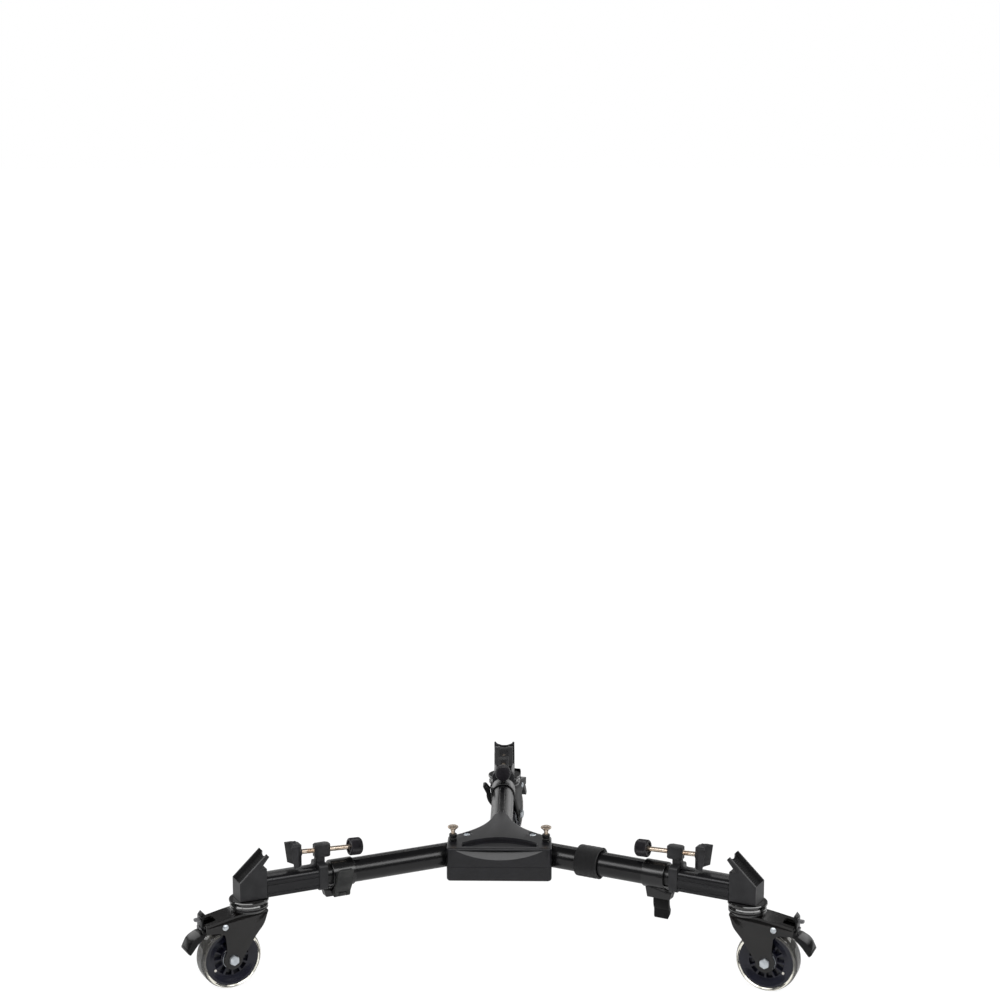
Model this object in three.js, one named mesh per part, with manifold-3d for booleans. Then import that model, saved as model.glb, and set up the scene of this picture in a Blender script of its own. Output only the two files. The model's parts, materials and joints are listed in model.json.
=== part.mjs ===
// A folding three-armed dolly on braked swivel castors, opened out to carry a three-legged stand.
// Millimetres, +Z up, the floor at Z 0. The rear arm points along +Y, and the front arms open to its sides.
// Each arm is built along its own X axis, outward from the point where the three arm axes meet.

import * as THREE from "three";
import { mergeVertices } from "three/addons/utils/BufferGeometryUtils.js";
import Module from "manifold-3d";

const wasm = await Module();
wasm.setup();

// Fits and facets
const SEAT_GAP = 0.3;
const RUN_GAP = 0.4;
const OVERRUN = 3;
const MERGE_DISTANCE = 1e-4;
const WHEEL_SIDES = 28;
const TUBE_SIDES = 24;
const ROUND_SIDES = 16;
const SMALL_SIDES = 10;
const HEX_SIDES = 6;
const CURVE_STEPS = 4;

// Arms
const FRONT_ARM_ANGLE = 117.5;
const FOLD_ANGLE = 117.5;
const FRONT_TUBE_REACH = 205;
const REAR_TUBE_REACH = 213;
const REAR_EXTENSION = 14;
const OUTER_TUBE_RADIUS = 15;
const OUTER_TUBE_WALL = 1.6;
const INNER_TUBE_RADIUS = 13;
const INNER_TUBE_WALL = 1.6;
const REAR_TUBE_START = 22;

// Hinge of a front arm
const HINGE_REACH = 39.5;
const HINGE_OFFSET = 16;
const HINGE_EYE_RADIUS = 10;
const HINGE_EYE_HEIGHT = 28;
const HINGE_BACK = 2.5;
const HINGE_BLOCK_LENGTH = 11;
const HINGE_PLUG_LENGTH = 27;
const INNER_TUBE_CLEARANCE = 9.5;
const HINGE_PLUG_REACH = HINGE_REACH + HINGE_BLOCK_LENGTH + HINGE_PLUG_LENGTH;
const INNER_TUBE_STOW = FRONT_TUBE_REACH - HINGE_PLUG_REACH - INNER_TUBE_CLEARANCE;
const PIVOT_RADIUS = 4.5;
const PIVOT_HEAD_RADIUS = 5;
const PIVOT_HEAD_THICKNESS = 2;
const PIVOT_HEAD_SINK = 0.7;
const PIVOT_NUT_RADIUS = 7.5;
const PIVOT_NUT_THICKNESS = 4.7;

// Hub shells
const HUB_HALF_WIDTH = 66;
const HUB_FRONT = 62;
const HUB_SHOULDER = 14;
const HUB_CORNER = 6;
const HUB_TOP = 17;
const HUB_SEAM_DROP = 7.5;
const HUB_BOTTOM_DROP = 26;
const TONGUE_LENGTH = 87;
const TONGUE_NECK = 71;
const TONGUE_HALF_WIDTH = 11;
const FLANK_OUTER_SHARES = [0.58, 0.08];
const FLANK_INNER_SHARES = [0.26, 0.36];
const TONGUE_TIP_SHARES = [0.75, 1];
const RECESS_DEPTH = 5;
const RECESS_HALF_WIDTH = 47;
const RECESS_FRONT = 54.5;
const RECESS_END_BACK = 40;
const RECESS_MIDDLE_BACK = 20;
const SCOOP_HALF_WIDTH = 62;
const SCOOP_REACH = 9;
const SCOOP_HEIGHT = 19;
const SCOOP_FORWARD = 4.5;
const SCOOP_RISE = 3;
const SWEEP_BACK_ANGLE = 14;

// Pull pins, bushings and the rear tube's bolt
const PIN_REACH = 66.5;
const PIN_RADIUS = 2.6;
const PIN_NECK_RADIUS = 3.3;
const PIN_NECK_LENGTH = 1.8;
const PIN_HEAD_RADIUS = 6.8;
const PIN_HEAD_HEIGHT = 4.5;
const PIN_TRAVEL = 4;
const PIN_HOLE_DEPTH = 9;
const BUSHING_RADIUS = 5;
const BUSHING_SPIGOT_RADIUS = 4;
const BUSHING_HEIGHT = 9;
const REAR_BOLT_REACH = 38;
const REAR_BOLT_RADIUS = 3.3;
const REAR_BOLT_HEAD_RADIUS = 6;
const REAR_BOLT_HEAD_THICKNESS = 4.5;
const REAR_BOLT_BITE = 3;

// Lock collar and its flip lever
const COLLAR_LENGTH = 29;
const COLLAR_RADIUS = 17;
const COLLAR_LAP = 10;
const LUG_START = 2;
const LUG_END = 38;
const LUG_STEP = 28.5;
const LUG_CLEAR_DROP = 18;
const LUG_DROP = 28;
const LUG_SLANT = 3;
const LUG_INNER = 4;
const LUG_OUTER = 8;
const SPLIT_WIDTH = 2;
const SPLIT_OFFSET = 2;
const LEVER_PIVOT_SIDE = 10;
const LEVER_PIVOT_DROP = 22;
const LEVER_KNUCKLE_RADIUS = 5;
const LEVER_PIN_RADIUS = 2;
const LEVER_START = 7.5;
const LEVER_WIDTH = 20;
const EAR_WIDTH = 9;
const EAR_WEB_HEIGHT = 6;
const PADDLE_CLEARANCE = 1.2;
const PADDLE_THICKNESS = 3.6;
const PADDLE_TIP_SIDE = 25;
const PADDLE_TIP_HEIGHT = 12.5;
const PADDLE_LOW_ANGLE = -50;
const PADDLE_HIGH_ANGLE = 10;
const LEVER_OPEN_ANGLE = 152;

// Strap
const STRAP_PAST_MIDDLE = 12;
const STRAP_START = FRONT_TUBE_REACH / 2 + STRAP_PAST_MIDDLE;
const STRAP_WIDTH = 29.5;
const STRAP_THICKNESS = 4;

// Clamp bracket
const BRACKET_STANDOFF = 7;
const BRACKET_LENGTH = 11.5;
const BRACKET_HALF_WIDTH = 15.5;
const BRACKET_DROP = 14.8;
const BRACKET_TOP = 18;
const BRACKET_CORNER = 6;
const NECK_LENGTH = 10.5;
const NECK_HALF_WIDTH = 5.5;
const BOSS_LENGTH = 20;
const BOSS_OVERHANG = 7;
const BOSS_HALF_WIDTH = 7.5;
const BOSS_HEIGHT = 15;
const BOSS_CHAMFER = 3.5;
const GUSSET_LENGTH = 17;
const GUSSET_HALF_WIDTH = 3.5;
const GUSSET_HEIGHT = 11;

// Clamp screw, knob and pad
const SCREW_HEIGHT = 32.2;
const SCREW_TILT = 3;
const SCREW_RADIUS = 3;
const KNOB_RADIUS = 10.8;
const KNOB_LENGTH = 16;
const KNOB_OVERHANG = 13;
const KNOB_FLUTES = 15;
const KNOB_FLUTE_DEPTH = 0.7;
const KNOB_BEVEL = 1.4;
const KNOB_SOCKET_DEPTH = 12;
const PAD_START = 67;
const PAD_THICKNESS = 16;
const PAD_MIDDLE = 7.5;
const PAD_HALF_WIDTH = 13;
const PAD_BACK_HALF_WIDTH = 6.5;
const PAD_BACK_DEPTH = 6.5;
const PAD_LOW = 18.5;
const PAD_HIGH = 44.5;
const PAD_LEAN = 4;
const PAD_SOCKET_DEPTH = 4;

// Foot tray and end block
const TRAY_LENGTH = 66;
const TRAY_WIDTH = 29;
const TRAY_HEIGHT = 25;
const TRAY_TOP_ROUND = 6;
const TRAY_LOW_ROUND = 3;
const TRAY_WALL = 2.6;
const GROOVE_DEPTH = 1.1;
const GROOVE_HEIGHT = 2.2;
const GROOVE_RISE = 2.5;
const BLOCK_LENGTH = 34;
const BLOCK_WIDTH = 29.5;
const BLOCK_NOSE_HEIGHT = 11;
const BLOCK_LEDGE_HEIGHT = 24;
const BLOCK_LEDGE_LENGTH = 8.5;
const BLOCK_PLATE_TOP = 42;
const BLOCK_PLATE_THICKNESS = 4.2;
const CHANNEL_DEPTH = 2.8;
const CHANNEL_MARGIN = 2.2;
const STEM_INSET = 18.7;

// Castor
const RACE_RADIUS = 24;
const RACE_THICKNESS = 4;
const STEM_RADIUS = 5;
const STEM_LENGTH = 20;
const KINGPIN_RADIUS = 6;
const KINGPIN_HEAD_RADIUS = 9;
const KINGPIN_HEAD_THICKNESS = 3;
const SWIVEL_RING_RADIUS = 23;
const SWIVEL_RING_HEIGHT = 8.7;
const AXLE_DROP = 67.7;
const TRAIL = 27;
const FORK_WALL = 2.5;
const FORK_INNER_HALF_WIDTH = 14.5;
const FORK_FRONT = 18;
const FORK_FRONT_DROP = 19;
const FORK_BROW = 13;
const FORK_BROW_DROP = 30;
const FORK_THROAT = 2.5;
const FORK_THROAT_DROP = 42;
const FORK_EYE_RADIUS = 12;
const FORK_ARM_BACK = 35;
const FORK_ARM_DROP = 54;
const FORK_NOTCH_BACK = 39;
const FORK_NOTCH_DROP = 33;
const FORK_TAIL = 60;
const FORK_TAIL_TOP_DROP = 20.5;
const FORK_TAIL_LOW_DROP = 31;
const FORK_KNEE = 18;
const AXLE_RADIUS = 4;
const AXLE_HEAD_RADIUS = 6.3;
const AXLE_HEAD_THICKNESS = 4;
const WHEEL_RADIUS = 37.5;
const TYRE_HALF_WIDTH = 12;
const TYRE_SHOULDER = 2.5;
const TYRE_CROWN_HALF_WIDTH = 8.5;
const CORE_RADIUS = 32.5;
const CORE_RIM_DEPTH = 4.5;
const CORE_WEB_HALF_WIDTH = 8.5;
const CORE_BOSS_RADIUS = 11;
const CORE_BOSS_HALF_WIDTH = 13.8;

// Brake pedal
const RIVET_BACK = 36.3;
const RIVET_DROP = 25.9;
const RIVET_RADIUS = 2.5;
const RIVET_HEAD_RADIUS = 3.8;
const RIVET_HEAD_THICKNESS = 1.6;
const BRAKE_ARM_HALF_WIDTH = 11;
const BRAKE_ARM_FRONT = 31;
const BRAKE_ARM_FRONT_TOP = 21;
const BRAKE_ARM_FRONT_LOW = 28;
const BRAKE_SHOE_BACK = 49;
const BRAKE_SHOE_LOW = 31.6;
const BRAKE_TAIL_TOP = 27;
const PEDAL_HALF_WIDTH = 12;
const PEDAL_GAP = 0.5;
const PEDAL_ROOT_DROP = 32;
const PEDAL_THICKNESS = 4;
const PEDAL_KNEE_BACK = 76;
const PEDAL_KNEE_DROP = 37.5;
const PEDAL_TIP_BACK = 82.5;
const PEDAL_TIP_DROP = 51;
const PEDAL_BACK = 68;
const PEDAL_BACK_DROP = 42;
const RELEASE_HALF_WIDTH = 8;
const RELEASE_TOP_DROP = 7.6;
const RELEASE_SHOULDER = 4.5;
const RELEASE_THICKNESS = 2;
const RELEASE_LEAN = 2.6;
const RELEASE_TIP_LEAN = 1.8;
const RELEASE_KNEE_DROP = 14;
const RELEASE_CLEARANCE = 1;
const FORK_SLOT_FRONT = 45;
const SPRING_TAB_HALF_WIDTH = 5;
const SPRING_TAB_DROP = 15.5;
const SPRING_TAB_LENGTH = 9;
const SPRING_TAB_THICKNESS = 2;

// Places worked out from the sizes above
const AXIS_HEIGHT = TRAY_HEIGHT / 2 + SEAT_GAP + AXLE_DROP + WHEEL_RADIUS;
const BORE_RADIUS = OUTER_TUBE_RADIUS + RUN_GAP;
const BRACKET_START = COLLAR_LENGTH + BRACKET_STANDOFF;
const BRACKET_END = BRACKET_START + BRACKET_LENGTH;
const TRAY_START = BRACKET_END + SEAT_GAP;
const BLOCK_START = TRAY_START + TRAY_LENGTH + SEAT_GAP;
const STEM_PLACE = BLOCK_START + STEM_INSET;
const FORK_OUTER_HALF_WIDTH = FORK_INNER_HALF_WIDTH + FORK_WALL;
const RING_TOP_DROP = RACE_THICKNESS + SEAT_GAP;
const FORK_TOP_DROP = RING_TOP_DROP + SWIVEL_RING_HEIGHT;

const { degToRad } = THREE.MathUtils;

// Finishes
const moulded = new THREE.MeshStandardMaterial({ color: 0x3a3a3c, roughness: 0.62, metalness: 0 });
const glossBlack = new THREE.MeshStandardMaterial({ color: 0x121214, roughness: 0.22, metalness: 0.4 });
const satinBlack = new THREE.MeshStandardMaterial({ color: 0x1f1f21, roughness: 0.45, metalness: 0.3 });
const nickel = new THREE.MeshStandardMaterial({ color: 0xd9cdbb, roughness: 0.25, metalness: 1 });
const silver = new THREE.MeshStandardMaterial({ color: 0xc9ccd1, roughness: 0.3, metalness: 1 });
const coreBlack = new THREE.MeshStandardMaterial({ color: 0x23242c, roughness: 0.4, metalness: 0 });
const clearTread = new THREE.MeshStandardMaterial({ color: 0xe6e0cc, roughness: 0.2, metalness: 0 });
const fabricBlack = new THREE.MeshStandardMaterial({ color: 0x151515, roughness: 0.95, metalness: 0 });

// A closed geometry as a solid that booleans can use. A mirrored or reversed shape has its faces turned out.
function solidOf(geometry) {
  const bare = geometry.clone();
  bare.deleteAttribute("normal");
  bare.deleteAttribute("uv");
  const merged = mergeVertices(bare, MERGE_DISTANCE);
  const vertProperties = merged.attributes.position.array;
  const triVerts = new Uint32Array(merged.index.array);
  const made = new wasm.Manifold(new wasm.Mesh({ numProp: 3, vertProperties, triVerts }));
  if (made.volume() >= 0) return made;
  for (let i = 0; i < triVerts.length; i += 3) {
    const kept = triVerts[i];
    triVerts[i] = triVerts[i + 1];
    triVerts[i + 1] = kept;
  }
  return new wasm.Manifold(new wasm.Mesh({ numProp: 3, vertProperties, triVerts }));
}

function join(...solids) {
  return solids.reduce((sum, solid) => sum.add(solid));
}

function cut(solid, ...tools) {
  return tools.reduce((rest, tool) => rest.subtract(tool), solid);
}

function meshOf(name, solid, material) {
  const { vertProperties, triVerts } = solid.getMesh();
  const geometry = new THREE.BufferGeometry();
  geometry.setAttribute("position", new THREE.BufferAttribute(vertProperties, 3));
  geometry.setIndex(new THREE.BufferAttribute(triVerts, 1));
  geometry.computeVertexNormals();
  const mesh = new THREE.Mesh(geometry, material);
  mesh.name = name;
  return mesh;
}

// A box between two corners.
function block([x0, y0, z0], [x1, y1, z1]) {
  const geometry = new THREE.BoxGeometry(x1 - x0, y1 - y0, z1 - z0);
  return solidOf(geometry.translate((x0 + x1) / 2, (y0 + y1) / 2, (z0 + z1) / 2));
}

// A round bar, or with six sides a hexagonal one, along X, Y or Z from one place to another.
function bar(axis, radius, from, to, sides, [across = 0, up = 0] = []) {
  const geometry = new THREE.CylinderGeometry(radius, radius, to - from, sides);
  geometry.translate(0, (from + to) / 2, 0);
  if (axis === "x") geometry.rotateZ(-Math.PI / 2).translate(0, across, up);
  if (axis === "y") geometry.translate(across, 0, up);
  if (axis === "z") geometry.rotateX(Math.PI / 2).translate(across, up, 0);
  return solidOf(geometry);
}

function shapeOf(points) {
  return new THREE.Shape(points.map(([x, y]) => new THREE.Vector2(x, y)));
}

// A plan outline raised between two heights.
function raised(shape, low, high) {
  const geometry = new THREE.ExtrudeGeometry(shape, {
    depth: high - low,
    bevelEnabled: false,
    curveSegments: CURVE_STEPS,
  });
  return solidOf(geometry.translate(0, 0, low));
}

// A side outline, drawn along X and up, run across Y between two places.
function acrossY(shape, from, to) {
  const geometry = new THREE.ExtrudeGeometry(shape, {
    depth: to - from,
    bevelEnabled: false,
    curveSegments: CURVE_STEPS,
  });
  return solidOf(geometry.rotateX(Math.PI / 2).translate(0, to, 0));
}

// An end outline, drawn across Y and up, run along X between two places.
function alongX(shape, from, to) {
  const geometry = new THREE.ExtrudeGeometry(shape, {
    depth: to - from,
    bevelEnabled: false,
    curveSegments: CURVE_STEPS,
  });
  geometry.rotateZ(Math.PI / 2).rotateY(Math.PI / 2);
  return solidOf(geometry.translate(from, 0, 0));
}

// A profile of radius and place, turned about X, Y or Z.
function turned(axis, points, sides) {
  const profile = points.map(([radius, place]) => new THREE.Vector2(radius, place));
  const geometry = new THREE.LatheGeometry(profile, sides);
  if (axis === "x") geometry.rotateZ(-Math.PI / 2);
  if (axis === "z") geometry.rotateX(Math.PI / 2);
  return solidOf(geometry);
}

// A rectangle centred across, with its own corner radius at the top and at the bottom.
function roundedOutline(halfWidth, low, high, lowRound, topRound) {
  const shape = new THREE.Shape();
  shape.moveTo(-halfWidth + lowRound, low);
  shape.lineTo(halfWidth - lowRound, low);
  shape.quadraticCurveTo(halfWidth, low, halfWidth, low + lowRound);
  shape.lineTo(halfWidth, high - topRound);
  shape.quadraticCurveTo(halfWidth, high, halfWidth - topRound, high);
  shape.lineTo(-halfWidth + topRound, high);
  shape.quadraticCurveTo(-halfWidth, high, -halfWidth, high - topRound);
  shape.lineTo(-halfWidth, low + lowRound);
  shape.quadraticCurveTo(-halfWidth, low, -halfWidth + lowRound, low);
  return shape;
}

// Plan direction at an angle from +X, as a vector of a given length.
function heading(angle, length) {
  return new THREE.Vector2(Math.cos(degToRad(angle)) * length, Math.sin(degToRad(angle)) * length);
}

// The angle of an arm from +X, its side being -1 for left, 1 for right and 0 for the rear arm.
function armAngle(side) {
  return 90 - side * FRONT_ARM_ANGLE;
}

// A place on the right front arm, given along it and to its counter-clockwise side, or its mirror image.
function hubPlace(side, along, aside) {
  const place = heading(armAngle(1), along).add(heading(armAngle(1) + 90, aside));
  return new THREE.Vector2(side * place.x, place.y);
}

// Hub

function hubOutline() {
  const shape = new THREE.Shape();
  shape.moveTo(0, -HUB_FRONT);
  for (const side of [1, -1]) {
    const half = new THREE.Path();
    half.moveTo(0, -HUB_FRONT);
    half.lineTo(HUB_HALF_WIDTH - HUB_CORNER, -HUB_FRONT);
    half.quadraticCurveTo(HUB_HALF_WIDTH, -HUB_FRONT, HUB_HALF_WIDTH, -HUB_FRONT + HUB_CORNER);
    half.lineTo(HUB_HALF_WIDTH, -HUB_SHOULDER);
    half.bezierCurveTo(
      FLANK_OUTER_SHARES[0] * HUB_HALF_WIDTH,
      FLANK_OUTER_SHARES[1] * TONGUE_LENGTH,
      FLANK_INNER_SHARES[0] * HUB_HALF_WIDTH,
      FLANK_INNER_SHARES[1] * TONGUE_LENGTH,
      TONGUE_HALF_WIDTH,
      TONGUE_NECK,
    );
    half.quadraticCurveTo(
      TONGUE_TIP_SHARES[0] * TONGUE_HALF_WIDTH,
      TONGUE_TIP_SHARES[1] * TONGUE_LENGTH,
      0,
      TONGUE_LENGTH,
    );
    const points = half.getPoints(CURVE_STEPS);
    if (side < 0) points.reverse();
    for (const point of points.slice(1, side > 0 ? points.length : -1)) shape.lineTo(side * point.x, point.y);
  }
  return shape;
}

// The space that a front arm sweeps through the hub as it folds: its tube open and folded, all between, and
// the turn of its inner end about the pivot, left solid on the side that the end never reaches.
function armSweep(side) {
  const far = 2 * HUB_HALF_WIDTH;
  const pivot = hubPlace(1, HINGE_REACH, HINGE_OFFSET);
  const open = armAngle(1);
  const folded = open + FOLD_ANGLE;
  const beside = (angle) => pivot.clone().add(heading(angle - 90, HINGE_OFFSET));
  const lane = (angle) => {
    const tube = new THREE.CylinderGeometry(BORE_RADIUS, BORE_RADIUS, far, TUBE_SIDES);
    tube.translate(0, far / 2 - HINGE_BACK - RUN_GAP, 0).rotateZ(degToRad(angle - 90));
    return solidOf(tube.translate(beside(angle).x, beside(angle).y, 0));
  };
  const fan = shapeOf(
    [
      pivot,
      beside(open),
      beside(open).add(heading(open, far)),
      pivot.clone().add(heading((open + folded) / 2, 2 * far)),
      beside(folded).add(heading(folded, far)),
      beside(folded),
    ].map(({ x, y }) => [x, y]),
  );
  const profile = new THREE.Path();
  profile.moveTo(0, -BORE_RADIUS);
  profile.lineTo(HINGE_OFFSET, -BORE_RADIUS);
  profile.absarc(HINGE_OFFSET, 0, BORE_RADIUS, -Math.PI / 2, Math.PI / 2);
  profile.lineTo(0, BORE_RADIUS);
  const turn = new THREE.LatheGeometry(profile.getPoints(CURVE_STEPS), TUBE_SIDES);
  turn.rotateX(Math.PI / 2).translate(pivot.x, pivot.y, 0);
  const kept = shapeOf(
    [
      pivot,
      pivot.clone().add(heading(folded, far)),
      pivot.clone().add(heading((folded + open + 270 - SWEEP_BACK_ANGLE) / 2, 2 * far)),
      pivot.clone().add(heading(open + 270 - SWEEP_BACK_ANGLE, far)),
    ].map(({ x, y }) => [x, y]),
  );
  const sweep = join(
    lane(open),
    lane(folded),
    raised(fan, -BORE_RADIUS, BORE_RADIUS),
    cut(solidOf(turn), raised(kept, -far, far)),
    bar("z", HINGE_EYE_RADIUS + RUN_GAP, -BORE_RADIUS, BORE_RADIUS, ROUND_SIDES, [pivot.x, pivot.y]),
  );
  return side > 0 ? sweep : mirrored(sweep);
}

function mirrored(solid) {
  const mesh = meshOf("mirror", solid, moulded);
  return solidOf(mesh.geometry.toNonIndexed().scale(-1, 1, 1));
}

// What both shells give way to: the two arm sweeps, the rear tube and the bores of the pivots.
function hubHollows() {
  const rear = bar("y", BORE_RADIUS, REAR_TUBE_START - RUN_GAP, TONGUE_LENGTH + OVERRUN, TUBE_SIDES);
  return join(armSweep(-1), armSweep(1), rear);
}

function hubCover(hollows) {
  const shell = raised(hubOutline(), -HUB_SEAM_DROP + SEAT_GAP, HUB_TOP);
  const lens = new THREE.Shape();
  lens.moveTo(-RECESS_HALF_WIDTH, -RECESS_FRONT);
  lens.lineTo(RECESS_HALF_WIDTH, -RECESS_FRONT);
  lens.lineTo(RECESS_HALF_WIDTH, -RECESS_END_BACK);
  const crown = RECESS_END_BACK - 2 * RECESS_MIDDLE_BACK;
  lens.quadraticCurveTo(0, crown, -RECESS_HALF_WIDTH, -RECESS_END_BACK);
  const recess = raised(lens, HUB_TOP - RECESS_DEPTH, HUB_TOP + OVERRUN);
  const scoop = new THREE.SphereGeometry(1, TUBE_SIDES, ROUND_SIDES);
  scoop.scale(SCOOP_HALF_WIDTH, SCOOP_REACH, SCOOP_HEIGHT);
  scoop.translate(0, -HUB_FRONT - SCOOP_FORWARD, HUB_TOP + SCOOP_RISE);
  const holes = [-1, 1].flatMap((side) => {
    const pivot = hubPlace(side, HINGE_REACH, HINGE_OFFSET);
    const pin = hubPlace(side, PIN_REACH, 0);
    const headBore = PIVOT_HEAD_RADIUS + RUN_GAP;
    const spigotBore = BUSHING_SPIGOT_RADIUS + SEAT_GAP;
    return [
      bar("z", headBore, 0, HUB_TOP + OVERRUN, ROUND_SIDES, [pivot.x, pivot.y]),
      bar("z", spigotBore, 0, HUB_TOP + OVERRUN, SMALL_SIDES, [pin.x, pin.y]),
    ];
  });
  return cut(shell, hollows, recess, solidOf(scoop), ...holes);
}

function hubBase(hollows) {
  const shell = raised(hubOutline(), -HUB_BOTTOM_DROP, -HUB_SEAM_DROP);
  const under = -HUB_BOTTOM_DROP - OVERRUN;
  const holes = [-1, 1].flatMap((side) => {
    const pivot = hubPlace(side, HINGE_REACH, HINGE_OFFSET);
    const nutTop = -HUB_BOTTOM_DROP + PIVOT_NUT_THICKNESS + SEAT_GAP + PIVOT_HEAD_SINK;
    return [
      bar("z", PIVOT_RADIUS + SEAT_GAP, under, 0, ROUND_SIDES, [pivot.x, pivot.y]),
      bar("z", PIVOT_NUT_RADIUS + RUN_GAP, under, nutTop, ROUND_SIDES, [pivot.x, pivot.y]),
    ];
  });
  const headTop = -HUB_BOTTOM_DROP + REAR_BOLT_HEAD_THICKNESS + SEAT_GAP + PIVOT_HEAD_SINK;
  const boltBore = bar("z", REAR_BOLT_RADIUS + SEAT_GAP, under, 0, ROUND_SIDES, [0, REAR_BOLT_REACH]);
  const headBore = REAR_BOLT_HEAD_RADIUS + RUN_GAP;
  const sink = bar("z", headBore, under, headTop, ROUND_SIDES, [0, REAR_BOLT_REACH]);
  return cut(shell, hollows, boltBore, sink, ...holes);
}

function armPivot(side) {
  const { x, y } = hubPlace(side, HINGE_REACH, HINGE_OFFSET);
  const top = HUB_TOP - PIVOT_HEAD_SINK;
  const bottom = -HUB_BOTTOM_DROP + PIVOT_HEAD_SINK;
  return join(
    bar("z", PIVOT_RADIUS, bottom, top, ROUND_SIDES, [x, y]),
    bar("z", PIVOT_HEAD_RADIUS, top - PIVOT_HEAD_THICKNESS, top, ROUND_SIDES, [x, y]),
    bar("z", PIVOT_NUT_RADIUS, bottom, bottom + PIVOT_NUT_THICKNESS, HEX_SIDES, [x, y]),
  );
}

function rearTubeBolt() {
  const bottom = -HUB_BOTTOM_DROP + PIVOT_HEAD_SINK;
  const top = -OUTER_TUBE_RADIUS + OUTER_TUBE_WALL + REAR_BOLT_BITE;
  const place = [0, REAR_BOLT_REACH];
  return join(
    bar("z", REAR_BOLT_RADIUS, bottom, top, SMALL_SIDES, place),
    bar("z", REAR_BOLT_HEAD_RADIUS, bottom, bottom + REAR_BOLT_HEAD_THICKNESS, HEX_SIDES, place),
  );
}

function pinBushing(side) {
  const { x, y } = hubPlace(side, PIN_REACH, 0);
  const seat = HUB_TOP + SEAT_GAP;
  const body = join(
    bar("z", BUSHING_SPIGOT_RADIUS, BORE_RADIUS + SEAT_GAP, seat + OVERRUN, SMALL_SIDES, [x, y]),
    bar("z", BUSHING_RADIUS, seat, seat + BUSHING_HEIGHT, ROUND_SIDES, [x, y]),
  );
  return cut(body, bar("z", PIN_RADIUS + SEAT_GAP, 0, seat + BUSHING_HEIGHT + OVERRUN, SMALL_SIDES, [x, y]));
}

// The pin is drawn up, with its tip just clear of the tube, so that the arm can fold. It drops by PIN_TRAVEL.
function lockPin(side) {
  const { x, y } = hubPlace(side, PIN_REACH, 0);
  const tip = BORE_RADIUS + SEAT_GAP;
  const neckLow = HUB_TOP + SEAT_GAP + BUSHING_HEIGHT + SEAT_GAP + PIN_TRAVEL;
  const headLow = neckLow + PIN_NECK_LENGTH;
  const pin = turned(
    "z",
    [
      [0, tip],
      [PIN_RADIUS, tip],
      [PIN_RADIUS, neckLow],
      [PIN_NECK_RADIUS, neckLow],
      [PIN_NECK_RADIUS, headLow],
      [PIN_HEAD_RADIUS, headLow + PIN_HEAD_HEIGHT / 3],
      [PIN_HEAD_RADIUS, headLow + (2 * PIN_HEAD_HEIGHT) / 3],
      [PIN_NECK_RADIUS, headLow + PIN_HEAD_HEIGHT],
      [0, headLow + PIN_HEAD_HEIGHT],
    ],
    ROUND_SIDES,
  );
  return pin.translate([x, y, 0]);
}

// Front arm hinge and tubes. The hinge eye stands to the side of the tube that faces the rear arm.

function pinHole(from, to) {
  return bar("z", PIN_RADIUS + SEAT_GAP, from, to, SMALL_SIDES, [PIN_REACH, 0]);
}

function armHinge(side) {
  const aside = side * HINGE_OFFSET;
  const start = HINGE_REACH - HINGE_BACK;
  const end = start + HINGE_BLOCK_LENGTH + HINGE_BACK;
  const halfHeight = HINGE_EYE_HEIGHT / 2;
  const plugRadius = OUTER_TUBE_RADIUS - OUTER_TUBE_WALL - SEAT_GAP;
  const place = [HINGE_REACH, aside];
  const body = join(
    bar("x", OUTER_TUBE_RADIUS, start, end, TUBE_SIDES),
    bar("x", plugRadius, start, end + HINGE_PLUG_LENGTH, TUBE_SIDES),
    bar("z", HINGE_EYE_RADIUS, -halfHeight, halfHeight, ROUND_SIDES, place),
  );
  const bore = bar("z", PIVOT_RADIUS + SEAT_GAP, -halfHeight, halfHeight, ROUND_SIDES, place);
  const long = bar("z", PIVOT_RADIUS + SEAT_GAP, -BORE_RADIUS, BORE_RADIUS, ROUND_SIDES, place);
  const head = bar(
    "z",
    PIVOT_HEAD_RADIUS + RUN_GAP,
    HUB_TOP - PIVOT_HEAD_SINK - PIVOT_HEAD_THICKNESS - SEAT_GAP,
    HUB_TOP,
    ROUND_SIDES,
    place,
  );
  const hole = pinHole(OUTER_TUBE_RADIUS - PIN_HOLE_DEPTH, OUTER_TUBE_RADIUS + OVERRUN);
  return cut(body, bore, long, head, hole);
}

function outerTube(start, end, side) {
  const tube = cut(
    bar("x", OUTER_TUBE_RADIUS, start, end, TUBE_SIDES),
    bar("x", OUTER_TUBE_RADIUS - OUTER_TUBE_WALL, start - OVERRUN, end + OVERRUN, TUBE_SIDES),
  );
  if (side !== 0) return cut(tube, pinHole(0, OUTER_TUBE_RADIUS + OVERRUN));
  const boltBore = REAR_BOLT_RADIUS + SEAT_GAP;
  return cut(
    tube,
    bar("z", boltBore, -OUTER_TUBE_RADIUS - OVERRUN, 0, SMALL_SIDES, [REAR_BOLT_REACH, 0]),
  );
}

function strap() {
  const inner = OUTER_TUBE_RADIUS + SEAT_GAP;
  const outer = inner + STRAP_THICKNESS;
  const profile = [
    [inner, 0],
    [outer, 0],
    [outer, STRAP_WIDTH],
    [inner, STRAP_WIDTH],
    [inner, 0],
  ];
  return turned("x", profile, TUBE_SIDES);
}

// Lock collar and flip lever, along X from the collar's hub end

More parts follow.
